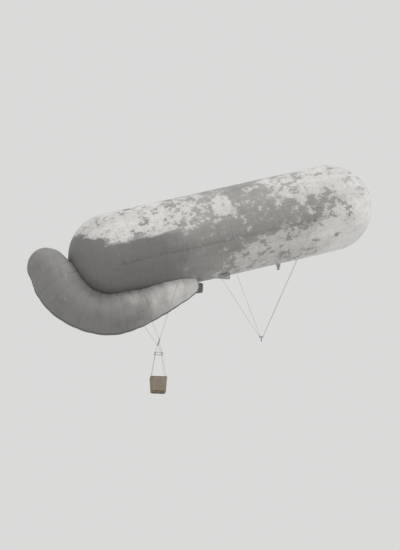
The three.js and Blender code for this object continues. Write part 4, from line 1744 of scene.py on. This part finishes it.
@dataclass
class NoseValve:
    """The gas valve in the nose: a timber ring, the bridge across it, and the sprung lid behind."""

    timber: Material
    iron: Material
    tip: float = 12.18
    bolts: int = 24
    bolt_ring: float = 0.366
    bridge_bolts: Row = (-0.27, -0.25, 0.25, 0.27)
    bridge_ends: Pair = (0.020, 0.308)
    bridge_depth: float = 0.014
    lid_back: float = -0.075

    @property
    def centre(self) -> Array:
        """The nose's pole."""
        return self.tip * AXIS

    def ring(self) -> list[Sheet]:
        """The ring, the two arms of the bridge across it and the boss that the lid's stem slides in.

        Returns:
            Their surfaces.
        """
        ring = [(0.290, -0.070), (0.325, -0.070), (0.325, -0.022), (0.396, -0.024), (0.402, -0.018)]
        ring += [(0.402, -0.004), (0.396, 0.003), (0.334, 0.004), (0.326, 0.010), (0.300, 0.012)]
        ring += [(0.292, 0.006), (0.290, 0.0), ring[0]]
        boss = [(0.015, -0.029), (0.030, -0.029), (0.034, -0.024), (0.034, -0.004), (0.030, 0.001)]
        boss += [(0.015, 0.001), boss[0]]
        reach = np.linspace(*self.bridge_ends, 5)[:, None]
        middle, bar = self.centre - AXIS * self.bridge_depth, rounded(0.046, 0.018, 0.005)
        arms = [sweep(middle + UPRIGHT * (way * reach), bar, up=AXIS) for way in (1, -1)]
        return [turned(ring, self.centre, AXIS, 120), *arms, turned(boss, self.centre, AXIS, 32)]

    def ironwork(self) -> list[Sheet]:
        """Bolts of the ring and the bridge.

        Returns:
            The bolts.
        """
        head = [(0.0, 0.007), (0.005, 0.0065), (0.009, 0.003), (0.0095, -0.002), (0.0, -0.002)]
        places = []
        for k in range(self.bolts):
            turn = (k + 0.5) / self.bolts * 2 * math.pi
            spoke = math.cos(turn) * PORT + math.sin(turn) * UPRIGHT
            places.append(self.centre + self.bolt_ring * spoke + 0.004 * AXIS)
        places += [self.centre + reach * UPRIGHT - 0.004 * AXIS for reach in self.bridge_bolts]
        return [turned(head, place, AXIS, 10) for place in places]

    def lid(self) -> list[Sheet]:
        """The domed lid with its beads, stem and nut.

        Returns:
            Their surfaces.
        """
        rim = [(0.0, -0.016), (0.306, -0.016), (0.313, -0.012), (0.313, -0.003), (0.309, 0.0)]
        dome = [(0.270, 0.0), (0.262, 0.003), (0.205, 0.013), (0.196, 0.016), (0.187, 0.014)]
        dome += [(0.110, 0.021), (0.102, 0.024), (0.094, 0.022), (0.040, 0.024), (0.028, 0.026)]
        dome += [(0.026, 0.036), (0.012, 0.037)]
        nut = [(0.0115, 0.087), (0.023, 0.087), (0.025, 0.090), (0.025, 0.104), (0.022, 0.107)]
        nut += [(0.012, 0.107), (0.0115, 0.112), (0.009, 0.115), (0.0, 0.115)]
        profile = [(radius, self.lid_back + height) for radius, height in rim + dome] + nut
        return [turned(profile, self.centre, AXIS, 72)]

    def make(self) -> None:
        """Builds the valve."""
        build("nose_valve_timber", self.ring(), self.timber, "balloon", ["nose_valve_ring"])
        build("nose_valve_bolts", self.ironwork(), self.iron, "balloon")
        build("nose_valve_plate", self.lid(), self.iron, "valve_lid", ["nose_valve_lid"])


@dataclass
class FillingNeck:
    """The fabric neck under the belly that gas is let in by, gathered and tied off."""

    finish: Material
    cord: Material
    along: float = 3.6
    top: float = -GAS_BAG_RADIUS
    pleats: int = 14
    outline: tuple[tuple[float, float, float], ...] = (
        (-0.12, 0.230, 0.0), (-0.04, 0.229, 0.0), (0.03, 0.225, 0.01), (0.06, 0.196, 0.02),
        (0.10, 0.172, 0.02), (0.18, 0.167, 0.02), (0.28, 0.163, 0.03), (0.37, 0.152, 0.06),
        (0.43, 0.12, 0.12), (0.465, 0.078, 0.2), (0.49, 0.05, 0.24), (0.505, 0.05, 0.24),
        (0.53, 0.068, 0.22), (0.57, 0.09, 0.2), (0.615, 0.1, 0.2),
    )
    tie: float = 0.057
    tie_drops: Row = (0.488, 0.498, 0.508)
    twine: float = 0.0055

    def make(self) -> None:
        """Builds the neck, whose outline is rows of (drop, radius, gathering), and its turns of cord."""
        x, _, z = self.along * AXIS + self.top * UPRIGHT
        drops, radii, gathers = np.array(self.outline).T
        fine = np.linspace(drops[0], drops[-1], 46)
        radius, fold = (np.interp(fine, drops, values)[:, None] for values in (radii, gathers))
        turn = around(168)
        reach = radius * (1 + fold * np.cos(self.pleats * turn + 1.5 * fine[:, None]))
        reach = np.concatenate([reach, reach[::-1] * 0.96])
        height = z - np.concatenate([fine, fine[::-1] - 0.003])[:, None]
        height = np.broadcast_to(height, reach.shape)
        cloth = Sheet(np.stack([x + reach * np.cos(turn), reach * np.sin(turn), height], -1), wrap=True)
        build("filling_neck_cloth", [cloth], self.finish, "balloon", ["filling_neck"])
        turns = [wire_ring((x, 0.0, z - drop), self.tie, UP, self.twine, 32, 6) for drop in self.tie_drops]
        build("filling_neck_cord", turns, self.cord, "balloon")


# Rigging


@dataclass
class Rigging:
    """The taut legs from the girdles to the mooring ring and to the car's bar, with their branch lines."""

    girdles: dict[Side, Girdle]
    tether: TetherGear
    gear: CarGear
    hemp: Material
    bar_core: float = 0.029
    radius: float = 0.0092
    line_radius: float = 0.005
    girdle_eye: float = 0.03
    line_eye: float = 0.02
    fork: float = 0.16

    def _target(self, name: str, spot: Array, side: Side) -> tuple[Array, Array, float]:
        """Where a leg leads.

        Args:
            name: The leg's name.
            spot: Where it starts.
            side: The leg's side.

        Returns:
            The middle of what its lower eye goes round, the eye's axis and how far short the leg stops.
        """
        if name.startswith("mooring"):
            ring = self.tether
            outward = unit((spot - ring.centre) * [1.0, 1.0, 0.0])
            return ring.centre + ring.radius * outward, np.cross(UP, outward), ring.wire
        bar, aside = self.gear, 0.011 if name.endswith("fore") else -0.011
        return np.array([bar.x, side.value * bar.half_length + aside, bar.bar_z]), PORT, self.bar_core

    def leg(self, name: str, along: float, side: Side) -> list[Sheet]:
        """One leg with its eyes and branch lines.

        Args:
            name: The leg's name without its side.
            along: Its place on the girdle.
            side: Its side.

        Returns:
            Its ropes.
        """
        girdle = self.girdles[side]
        spot = girdle.spot(along)
        middle, axis, core = self._target(name, spot, side)
        heading = unit(middle - spot)
        stop = middle - heading * (core + 2 * self.radius)
        sheets = [
            spliced(spot + self.girdle_eye * heading, stop, self.radius),
            wire_ring(middle, core + self.radius, axis, self.radius),
            wire_ring(spot, self.girdle_eye, AXIS, self.radius * 0.8, 20),
        ]
        fork = spot + self.fork * (stop - spot)
        for place in girdle.foot_places(along):
            foot = girdle.spot(place)
            end = foot - self.line_eye * unit(foot - fork)
            sheets.append(sweep(resampled(np.stack([fork, end]), 0.4), circle(6, self.line_radius)))
            sheets.append(wire_ring(foot, self.line_eye, AXIS, self.line_radius, 16, 6))
        sheets.append(spliced(fork - 0.09 * heading, fork + 0.12 * heading, self.radius * 1.25, 0.1, 0.8))
        return sheets

    def make(self) -> None:
        """Builds all eight legs."""
        for side in Side:
            for name, along in LEGS.items():
                title = f"{name}_{side.word}"
                build(f"{title}_rope", self.leg(name, along, side), self.hemp, "balloon", [title])


@dataclass
class TetherGear:
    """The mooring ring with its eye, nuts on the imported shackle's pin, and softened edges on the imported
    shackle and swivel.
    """

    iron: Material
    centre: tuple[float, float, float] = (3.0, 0.0, -8.4)
    radius: float = 0.15
    wire: float = 0.016
    bar: float = 0.0128
    eye_drop: float = 0.062
    eye_radius: float = 0.038
    eye_edge: float = 0.004
    bore: float = 0.015
    half_width: float = 0.013
    nut_reach: float = 0.0585
    soft_edge: float = 0.0025

    def mooring_ring(self) -> list[Sheet]:
        """The ring, its crossbar and the eye under it.

        Returns:
            Their surfaces.
        """
        middle, up, edge = np.array(self.centre), np.array(UP), self.eye_edge
        ring = wire_ring(middle, self.radius, UP, self.wire, 96, 16)
        ends = middle + np.linspace(-1, 1, 9)[:, None] * PORT * (self.radius - 0.004)
        drops = middle - np.linspace(0.0, self.eye_drop - self.eye_radius + 0.006, 7)[:, None] * up
        shank = sweep(drops, rounded(0.038, 0.026, 0.006), up=PORT)
        profile = [(self.bore, -self.half_width + edge), (self.bore + edge, -self.half_width)]
        profile += [(self.eye_radius - edge, -self.half_width), (self.eye_radius, -self.half_width + edge)]
        profile += [(r, -h) for r, h in reversed(profile)] + profile[:1]
        eye = turned(profile, middle - self.eye_drop * up, PORT, 40)
        return [ring, sweep(ends, circle(14, self.bar)), shank, eye]

    def fittings(self) -> list[Sheet]:
        """Nuts on the shackle's pin.

        Returns:
            The nuts.
        """
        pivot = np.array(self.centre) - self.eye_drop * np.array(UP)
        nut = [(0.0, 0.0), (0.021, 0.0), (0.0225, 0.0015), (0.0225, 0.0085), (0.021, 0.010), (0.0, 0.010)]
        ways = [side.value * PORT for side in Side]
        return [turned(nut, pivot + self.nut_reach * way, way, 6) for way in ways]

    def make(self, nodes: dict[str, bpy.types.Object]) -> None:
        """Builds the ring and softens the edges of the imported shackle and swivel.

        Args:
            nodes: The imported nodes.
        """
        build("mooring_ring_forging", self.mooring_ring(), self.iron, "balloon", ["mooring_ring"])
        build("tether_pin_nuts", self.fittings(), self.iron, "shackle")
        for name in ("tether_shackle", "tether_swivel"):
            soften(nodes[name], self.soft_edge)


def soften(node: bpy.types.Object, width: float) -> None:
    """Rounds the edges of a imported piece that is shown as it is.

    Args:
        node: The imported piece.
        width: Width of the rounding.
    """
    bevel = node.modifiers.new("soft_edges", "BEVEL")
    bevel.width = width
    bevel.segments = 3
    bevel.limit_method = "ANGLE"
    bevel.angle_limit = math.radians(32.0)
    bevel.harden_normals = True
    node.data.polygons.foreach_set("use_smooth", [True] * len(node.data.polygons))


# Car


@dataclass
class CarGear:
    """The bar that the car swings on, its slings, the hoop and the ropes down to the basket."""

    hemp: Material
    timber: Material
    hide: Material
    x: float = -4.85
    bar_z: float = -9.15
    hoop_z: float = -10.04
    rim_z: float = -11.96
    half_length: float = 0.75
    sling_loop: float = 0.044
    sling: float = 0.009
    hoop: float = 0.35
    tube: float = 0.02
    eye_shift: float = 0.0105
    foot: Pair = (0.55, 0.445)
    rope_radius: float = 0.0092
    rim_corner: Pair = (0.44, 0.335)
    rim_round: float = 0.168
    rim_drop: float = 0.030
    rim_eye: float = 0.0405

    @property
    def corner(self) -> float:
        """Distance of the hoop's four rope corners from its middle lines."""
        return self.hoop * math.sqrt(0.5)

    def bar(self) -> list[Sheet]:
        """The turned bar with its knobs.

        Returns:
            The bar's surface.
        """
        half = [(0.0285, 0.0), (0.0285, 0.20), (0.030, 0.205), (0.030, 0.29), (0.0285, 0.295)]
        half += [(0.0275, 0.60), (0.028, 0.690), (0.034, 0.697), (0.043, 0.708), (0.0445, 0.716)]
        half += [(0.042, 0.724), (0.0295, 0.730), (0.0285, 0.735), (0.0285, 0.768), (0.030, 0.771)]
        half += [(0.0365, 0.776), (0.034, 0.786), (0.020, 0.794), (0.0, 0.795)]
        profile = [(r, -h) for r, h in reversed(half)] + half[1:]
        return [turned(profile, (self.x, 0.0, self.bar_z), PORT, 36)]

    def slings(self, side: Side) -> list[Sheet]:
        """One sling: its loop over the bar and its two parts down to the hoop.

        Args:
            side: The sling's side.

        Returns:
            Its ropes.
        """
        y = side.value * self.corner
        top = np.array([self.x, y, self.bar_z])
        sheets = [wire_ring(top, self.sling_loop, PORT, self.sling, 40)]
        for end in (1.0, -1.0):
            low = np.array([self.x + end * self.corner, y, self.hoop_z])
            heading = unit(low - top)
            start = top + heading * (self.sling_loop + 0.006)
            sheets.append(spliced(start, low - heading * (self.tube + 0.014), self.sling, 0.22))
            sheets.append(self._eye(low, end, side.value, self.eye_shift))
        return sheets

    def _eye(self, place: Array, end: float, sign: float, shift: float) -> Sheet:
        """A rope's eye round the hoop, shifted along it."""
        tangent = unit(np.array([-sign * self.corner, end * self.corner, 0.0]))
        return wire_ring(place + shift * tangent, self.tube + self.sling, tangent, self.sling, 26)

    def hoop_ring(self) -> list[Sheet]:
        """The steamed timber hoop, its thickness swelling a little twice round it."""
        path = ring_path((self.x, 0.0, self.hoop_z), self.hoop, UP, 120)
        return [sweep(path, circle(18, self.tube), 0.985 + 0.012 * np.cos(2 * around(120)), closed=True)]

    def collars(self) -> list[Sheet]:
        """Leather collars on the hoop under the eyes.

        Returns:
            The collars.
        """
        sheets = []
        swell = [0.97, 1.01, 1.02, 1.02, 1.02, 1.02, 1.02, 1.01, 0.97]
        for k in range(4):
            turn = (k + 0.5) * math.pi / 2 + np.linspace(-0.12, 0.12, 9)
            x, y = self.x + self.hoop * np.cos(turn), self.hoop * np.sin(turn)
            path = np.stack([x, y, np.full(9, self.hoop_z)], -1)
            sheets.append(sweep(path, circle(18, self.tube + 0.0006), swell))
        return sheets

    def basket_rope(self, side: Side, end: float) -> list[Sheet]:
        """One rope from the hoop to the basket's rim, with its eyes.

        Args:
            side: The rope's side.
            end: 1 for fore, -1 for aft.

        Returns:
            Its surfaces.
        """
        quarter = np.array([end, side.value])
        middle = np.array([self.x, 0.0])
        top = np.array([*(middle + quarter * self.corner), self.hoop_z])
        foot = np.array([*(middle + quarter * self.foot), self.rim_z])
        rim = np.array([*(middle + quarter * self.rim_corner), self.rim_z - self.rim_drop])
        heading, out = unit(foot - top), unit(np.array([*quarter, 0.0]))
        start, stop = top + heading * (self.tube + 0.014), foot - heading * 0.004
        sheets = [spliced(start, stop, self.rope_radius, 0.3)]
        sheets.append(self._eye(top, end, side.value, -self.eye_shift))
        tangent = np.array([-out[1], out[0], 0.0])
        for shift in (-0.011, 0.011):
            place = rim + self.rim_round * out + shift * tangent
            sheets.append(wire_ring(place, self.rim_eye, tangent, self.rope_radius, 30))
        return sheets

    def make(self) -> None:
        """Builds the bar and everything between it and the basket."""
        build("car_bar_timber", self.bar(), self.timber, "balloon", ["car_bar"])
        build("car_hoop_timber", self.hoop_ring(), self.timber, "car", ["car_hoop"])
        build("car_hoop_collars", self.collars(), self.hide, "car")
        for side in Side:
            word = side.word
            node = f"car_sling_{word}"
            build(f"car_sling_rope_{word}", self.slings(side), self.hemp, "car", [node])
            for title, end in (("fore", 1.0), ("aft", -1.0)):
                name = f"basket_rope_{title}_{word}"
                build(f"{name}_hemp", self.basket_rope(side, end), self.hemp, "car", [name])


@dataclass
class Basket:
    """The woven basket: stakes, weavers, stouter bands, floor, padded rim and skids."""

    wicker: Material
    hide: Material
    timber: Material
    x: float
    rim_z: float
    rim_drop: float
    length: float = 1.26
    width: float = 1.05
    height: float = 1.09
    corner: float = 0.19
    taper: float = 0.89
    wall: float = 0.026
    wall_top: float = -12.0205
    wall_bottom: float = -13.0505
    floor_top: float = -13.0185
    stakes: int = 70
    stake: float = 0.0062
    weave: float = 0.0165
    swing: float = 0.0058
    rod: float = 0.0071
    bands: Row = (-13.0205, -12.86, -12.52, -12.20, -12.0505)
    band_rise: float = 0.012
    band_depth: float = 0.0075
    band_rod: float = 0.0055
    border: float = 0.014
    slat: float = 0.036
    battens: Row = (-0.42, -0.21, 0.0, 0.21, 0.42)
    rim_points: int = 352
    rim_inset: float = 0.022
    skids: Row = (0.3, 0.0, -0.3)
    skid_z: float = -13.074
    skid_reach: float = 0.479

    def outline(self, inset: float, height: Array | float, count: int) -> Array:
        """Points round the basket.

        Args:
            inset: Distance inside its outer face.
            height: The points' heights.
            count: How many points.

        Returns:
            Points by 3, evenly apart.
        """
        reach = self.corner - inset
        spots = []
        for quarter, (x, y) in enumerate([(1, 1), (-1, 1), (-1, -1), (1, -1)]):
            turn = np.linspace(0, math.pi / 2, 13) + quarter * math.pi / 2
            along = x * (self.length / 2 - self.corner) + reach * np.cos(turn)
            beside = y * (self.width / 2 - self.corner) + reach * np.sin(turn)
            spots.append(np.stack([along, beside, np.zeros(13)], -1))
        loop = np.concatenate([*spots, spots[0][:1]])
        runs = run_lengths(loop)
        flat = read_off(loop, runs, np.arange(count) / count * runs[-1])
        fall = (self.rim_z - height) / self.height
        flat[:, :2] *= np.reshape(1 + (self.taper - 1) * fall, (-1, 1))
        flat[:, 0] += self.x
        flat[:, 2] = height
        return flat

    def _outward(self, path: Array) -> Array:
        """Level directions out of the basket along a closed path."""
        heading = np.roll(path, -1, 0) - np.roll(path, 1, 0)
        return unit(np.stack([heading[:, 1], -heading[:, 0], np.zeros(len(path))], -1))

    def weavers(self) -> list[Sheet]:
        """The rods woven in and out of the stakes, row over row.

        Returns:
            The rods.
        """
        random = np.random.default_rng(5)
        per_stake = 3
        count = self.stakes * per_stake
        wave = np.cos(np.arange(count) / per_stake * math.pi)
        rows = int((self.wall_top - self.wall_bottom - 0.02) / self.weave)
        sheets = []
        for k in range(rows):
            height = self.wall_bottom + 0.012 + (k + 0.5) * self.weave + random.normal(0, 0.0006, count)
            path = self.outline(self.wall / 2, height, count)
            sign = 1.0 if k % 2 else -1.0
            path = path + self._outward(path) * (self.swing * sign * wave)[:, None]
            radius = self.rod * random.uniform(0.94, 1.06)
            sheets.append(sweep(path, circle(6, radius) * np.array([1.0, 1.38]), closed=True))
        return sheets

    def stakes_and_bands(self) -> list[Sheet]:
        """The upright stakes and the stouter twisted bands.

        Returns:
            Their rods.
        """
        low = self.outline(self.wall / 2, self.wall_bottom + 0.004, self.stakes)
        high = self.outline(self.wall / 2, self.wall_top - 0.002, self.stakes)
        share = np.linspace(0, 1, 5)[:, None]
        sheets = [sweep(a + share * (b - a), circle(6, self.stake), up=PORT) for a, b in zip(low, high)]
        count = self.stakes * 4
        for height in self.bands:
            for strand in range(3):
                phase = np.arange(count) / 4 * 2 * math.pi / 3 + strand * 2 * math.pi / 3
                path = self.outline(self.wall / 2, height + self.band_rise * np.sin(phase), count)
                path = path + self._outward(path) * (self.band_depth * np.cos(phase))[:, None]
                sheets.append(sweep(path, circle(6, self.band_rod), closed=True))
        return sheets

    def floor(self) -> list[Sheet]:
        """Slats of the floor with the battens under them and the border against the walls.

        Returns:
            Their surfaces.
        """
        border = self.outline(self.wall + 0.010, self.floor_top + 0.005, 160)
        sheets = [sweep(border, circle(8, self.border), closed=True)]
        fall = (self.rim_z - self.floor_top) / self.height
        scale = 1 + (self.taper - 1) * fall
        half_x = (self.length / 2 - self.wall) * scale - 0.004
        half_y = (self.width / 2 - self.wall) * scale - 0.004
        corner = (self.corner - self.wall) * scale
        count = round(2 * half_y / self.slat)
        pitch = 2 * half_y / count
        level = np.full(7, self.floor_top)
        for k in range(count):
            y = (k + 0.5 - count / 2) * pitch
            over = max(0.0, abs(y) - (half_y - corner))
            reach = half_x - (corner - math.sqrt(max(corner**2 - over**2, 0.0)))
            path = np.stack([self.x + np.linspace(-reach, reach, 7), np.full(7, y), level - 0.008], -1)
            sheets.append(sweep(path, rounded(pitch - 0.003, 0.016, 0.005)))
        across = np.linspace(-1, 1, 7) * (half_y - 0.06)
        for x in self.battens:
            path = np.stack([np.full(7, self.x + x), across, level - 0.024], -1)
            sheets.append(sweep(path, rounded(0.045, 0.015, 0.004)))
        return sheets

    def rim_path(self) -> Array:
        """The middle of the padded roll."""
        return self.outline(self.rim_inset, self.rim_z - self.rim_drop, self.rim_points)

    def rim(self) -> list[Sheet]:
        """The padded leather roll, drawn in by its lacing.

        Returns:
            The roll's surface.
        """
        path = self.rim_path()
        base = (self.taper - 1) * self.rim_drop / self.height
        path[:, :2] = (path[:, :2] - [self.x, 0.0]) / (1 + base) + [self.x, 0.0]
        tuck = 1 - 0.035 * np.abs(np.cos(np.arange(self.rim_points) / 8 * math.pi)) ** 6
        return [sweep(path, rounded(0.055, 0.059, 0.024, 6), tuck, closed=True)]

    def thong(self) -> list[Sheet]:
        """The lacing round the rim."""
        return [lacing_cord(self.rim_path(), 0.0292, self.rim_points // 8, 0.0028)]

    def runners(self) -> list[Sheet]:
        """The three skids, their ends cut back.

        Returns:
            The skids.
        """
        half = [(0.0, 1.0), (0.4, 1.0), (0.86, 1.0), (0.94, 0.9), (0.985, 0.74), (1.0, 0.62)]
        share, size = np.array([(-place, size) for place, size in reversed(half)] + half[1:]).T
        sheets = []
        for y in self.skids:
            height = self.skid_z + 0.022 * (1 - size)
            path = np.stack([self.x + share * self.skid_reach, np.full(len(share), y), height], -1)
            sheets.append(sweep(path, rounded(0.06, 0.046, 0.007), size))
        return sheets

    def make(self) -> None:
        """Builds the basket."""
        build("basket_weavers", self.weavers(), self.wicker, "car", ["basket_walls"])
        build("basket_stakes", self.stakes_and_bands(), self.wicker, "car")
        build("basket_floor_slats", self.floor(), self.wicker, "car", ["basket_floor"])
        build("basket_rim_roll", self.rim(), self.hide, "car", ["basket_rim"])
        build("basket_rim_thong", self.thong(), self.hide, "car")
        skids = [f"basket_skid_{k}" for k in (1, 2, 3)]
        build("basket_runners", self.runners(), self.timber, "car", skids)


# Camera, light and floor


@dataclass
class Studio:
    """Camera at the photograph's viewing angle, soft light and a pale floor far below."""

    azimuth: float = math.radians(-7.0)
    elevation: float = math.radians(-20.0)
    distance: float = 143.0
    lens: float = 122.0
    target: tuple[float, float, float] = (-1.7, 0.0, -3.6)
    floor_below: float = 1.0
    floor_radius: float = 1500.0
    sky: Colour = (0.70, 0.70, 0.695)

    def camera(self) -> bpy.types.Object:
        """Makes the camera.

        Returns:
            The camera's object.
        """
        a, e = self.azimuth, self.elevation
        back = Vector((math.sin(a) * math.cos(e), -math.cos(a) * math.cos(e), math.sin(e)))
        data = bpy.data.cameras.new("camera")
        data.lens = self.lens
        data.clip_end = 3000.0
        camera = bpy.data.objects.new("camera", data)
        camera.location = Vector(self.target) + back * self.distance
        camera.rotation_mode = "QUATERNION"
        camera.rotation_quaternion = (-back).to_track_quat("-Z", "Y")
        bpy.context.scene.collection.objects.link(camera)
        bpy.context.scene.camera = camera
        return camera

    def light(self) -> None:
        """Makes the sky and the lamps."""
        scene = bpy.context.scene
        scene.view_settings.view_transform = "Standard"
        world = bpy.data.worlds.new("sky")
        world.use_nodes = True
        sky = world.node_tree.nodes["Background"]
        sky.inputs["Color"].default_value = (*self.sky, 1.0)
        sky.inputs["Strength"].default_value = 1.0
        scene.world = world
        lamps = (("key", (0.55, -0.55, 1.0), 1.5, 25.0), ("fill", (-0.6, -1.0, 0.35), 0.35, 60.0))
        for name, direction, energy, spread in lamps:
            data = bpy.data.lights.new(name, "SUN")
            data.energy = energy
            data.angle = math.radians(spread)
            lamp = bpy.data.objects.new(name, data)
            lamp.rotation_mode = "QUATERNION"
            lamp.rotation_quaternion = Vector(direction).to_track_quat("Z", "Y")
            scene.collection.objects.link(lamp)

    def floor(self, camera: bpy.types.Object, finish: Material) -> None:
        """Makes the floor, just under the camera.

        Args:
            camera: The camera.
            finish: The floor's material.
        """
        height = camera.location.z - self.floor_below
        rim = ring_path((0.0, 0.0, height), self.floor_radius, UP, 64)
        mesh = bpy.data.meshes.new("floor")
        mesh.from_pydata(rim.tolist(), [], [list(range(len(rim)))])
        mesh.materials.append(finish)
        floor = bpy.data.objects.new("floor", mesh)
        bpy.context.scene.collection.objects.link(floor)


def main() -> None:
    """Builds the balloon's looks, piece by piece."""
    logging.basicConfig(level=logging.INFO, format="%(name)s %(message)s")
    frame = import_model()
    studio = Studio()
    camera = studio.camera()

    gas_fabric = GasFabric().material()
    bag_fabric = BagFabric().material()
    gas_tape = GasFabric("gas_seam_tape", shade=0.92).material()
    bag_tape = BagFabric("bag_seam_tape", shade=0.92).material()
    band = BandFabric(ground=GasFabric(shade=0.86)).material()
    dark, rubbed = (0.125, 0.122, 0.116), (0.20, 0.196, 0.187)
    keel = BandFabric("keel_band", tone=dark, worn=rubbed, width=KEEL_WIDTH).material()
    dark, rubbed = (0.15, 0.147, 0.14), (0.31, 0.302, 0.29)
    edging = BandFabric("edging", tone=dark, worn=rubbed, width=EDGING_WIDTH).material()
    hemp = Hemp().material()
    ash = Timber().material()
    wicker = Wicker().material()
    hide = Hide().material()
    iron = Iron().material()
    finishes = {
        "gas_fabric": gas_fabric,
        "bag_fabric": bag_fabric,
        "band_fabric": band,
        "rope": hemp,
        "wood": ash,
        "wicker": wicker,
        "leather": hide,
        "steel": iron,
    }
    for row in frame["record"]["subparts"]:
        node = frame["nodes"][row["node"]]
        node.data.materials.clear()
        node.data.materials.append(finishes[row["material_slot"]])

    gas_bag = GasBag(gas_fabric, gas_tape)
    gas_bag.make()
    SteeringBag(gas_bag, bag_fabric, bag_tape, keel).make()
    girdles = {side: Girdle(gas_bag, side, band, ash) for side in Side}
    for girdle in girdles.values():
        girdle.make()
    RippingPanel(gas_bag, gas_tape, edging, hemp).make()
    WindMouth(
        name="steering_mouth",
        throat=STEERING_THROAT,
        radius=0.34,
        root_radius=0.64,
        finish=bag_fabric,
        timber=ash,
        cord=hemp,
        slot="bag_fabric",
        hoop_node="steering_mouth_hoop",
        collar=keel,
    ).make()
    WindMouth(
        name="ballonet",
        throat=BALLONET_THROAT,
        radius=0.23,
        root_radius=0.23,
        finish=gas_fabric,
        timber=ash,
        cord=hemp,
        slot="gas_fabric",
        hoop_node="ballonet_mouth_hoop",
        sleeve_nodes=("ballonet_mouth",),
    ).make()
    MouthFlap(band, ash, iron).make()
    NoseValve(ash, iron).make()
    FillingNeck(gas_fabric, hemp).make()
    tether = TetherGear(iron)
    gear = CarGear(hemp, ash, hide)
    Rigging(girdles, tether, gear, hemp).make()
    tether.make(frame["nodes"])
    gear.make()
    Basket(wicker, hide, ash, gear.x, gear.rim_z, gear.rim_drop).make()

    studio.light()
    studio.floor(camera, PaleFloor().material())


if __name__ == "__main__":
    main()
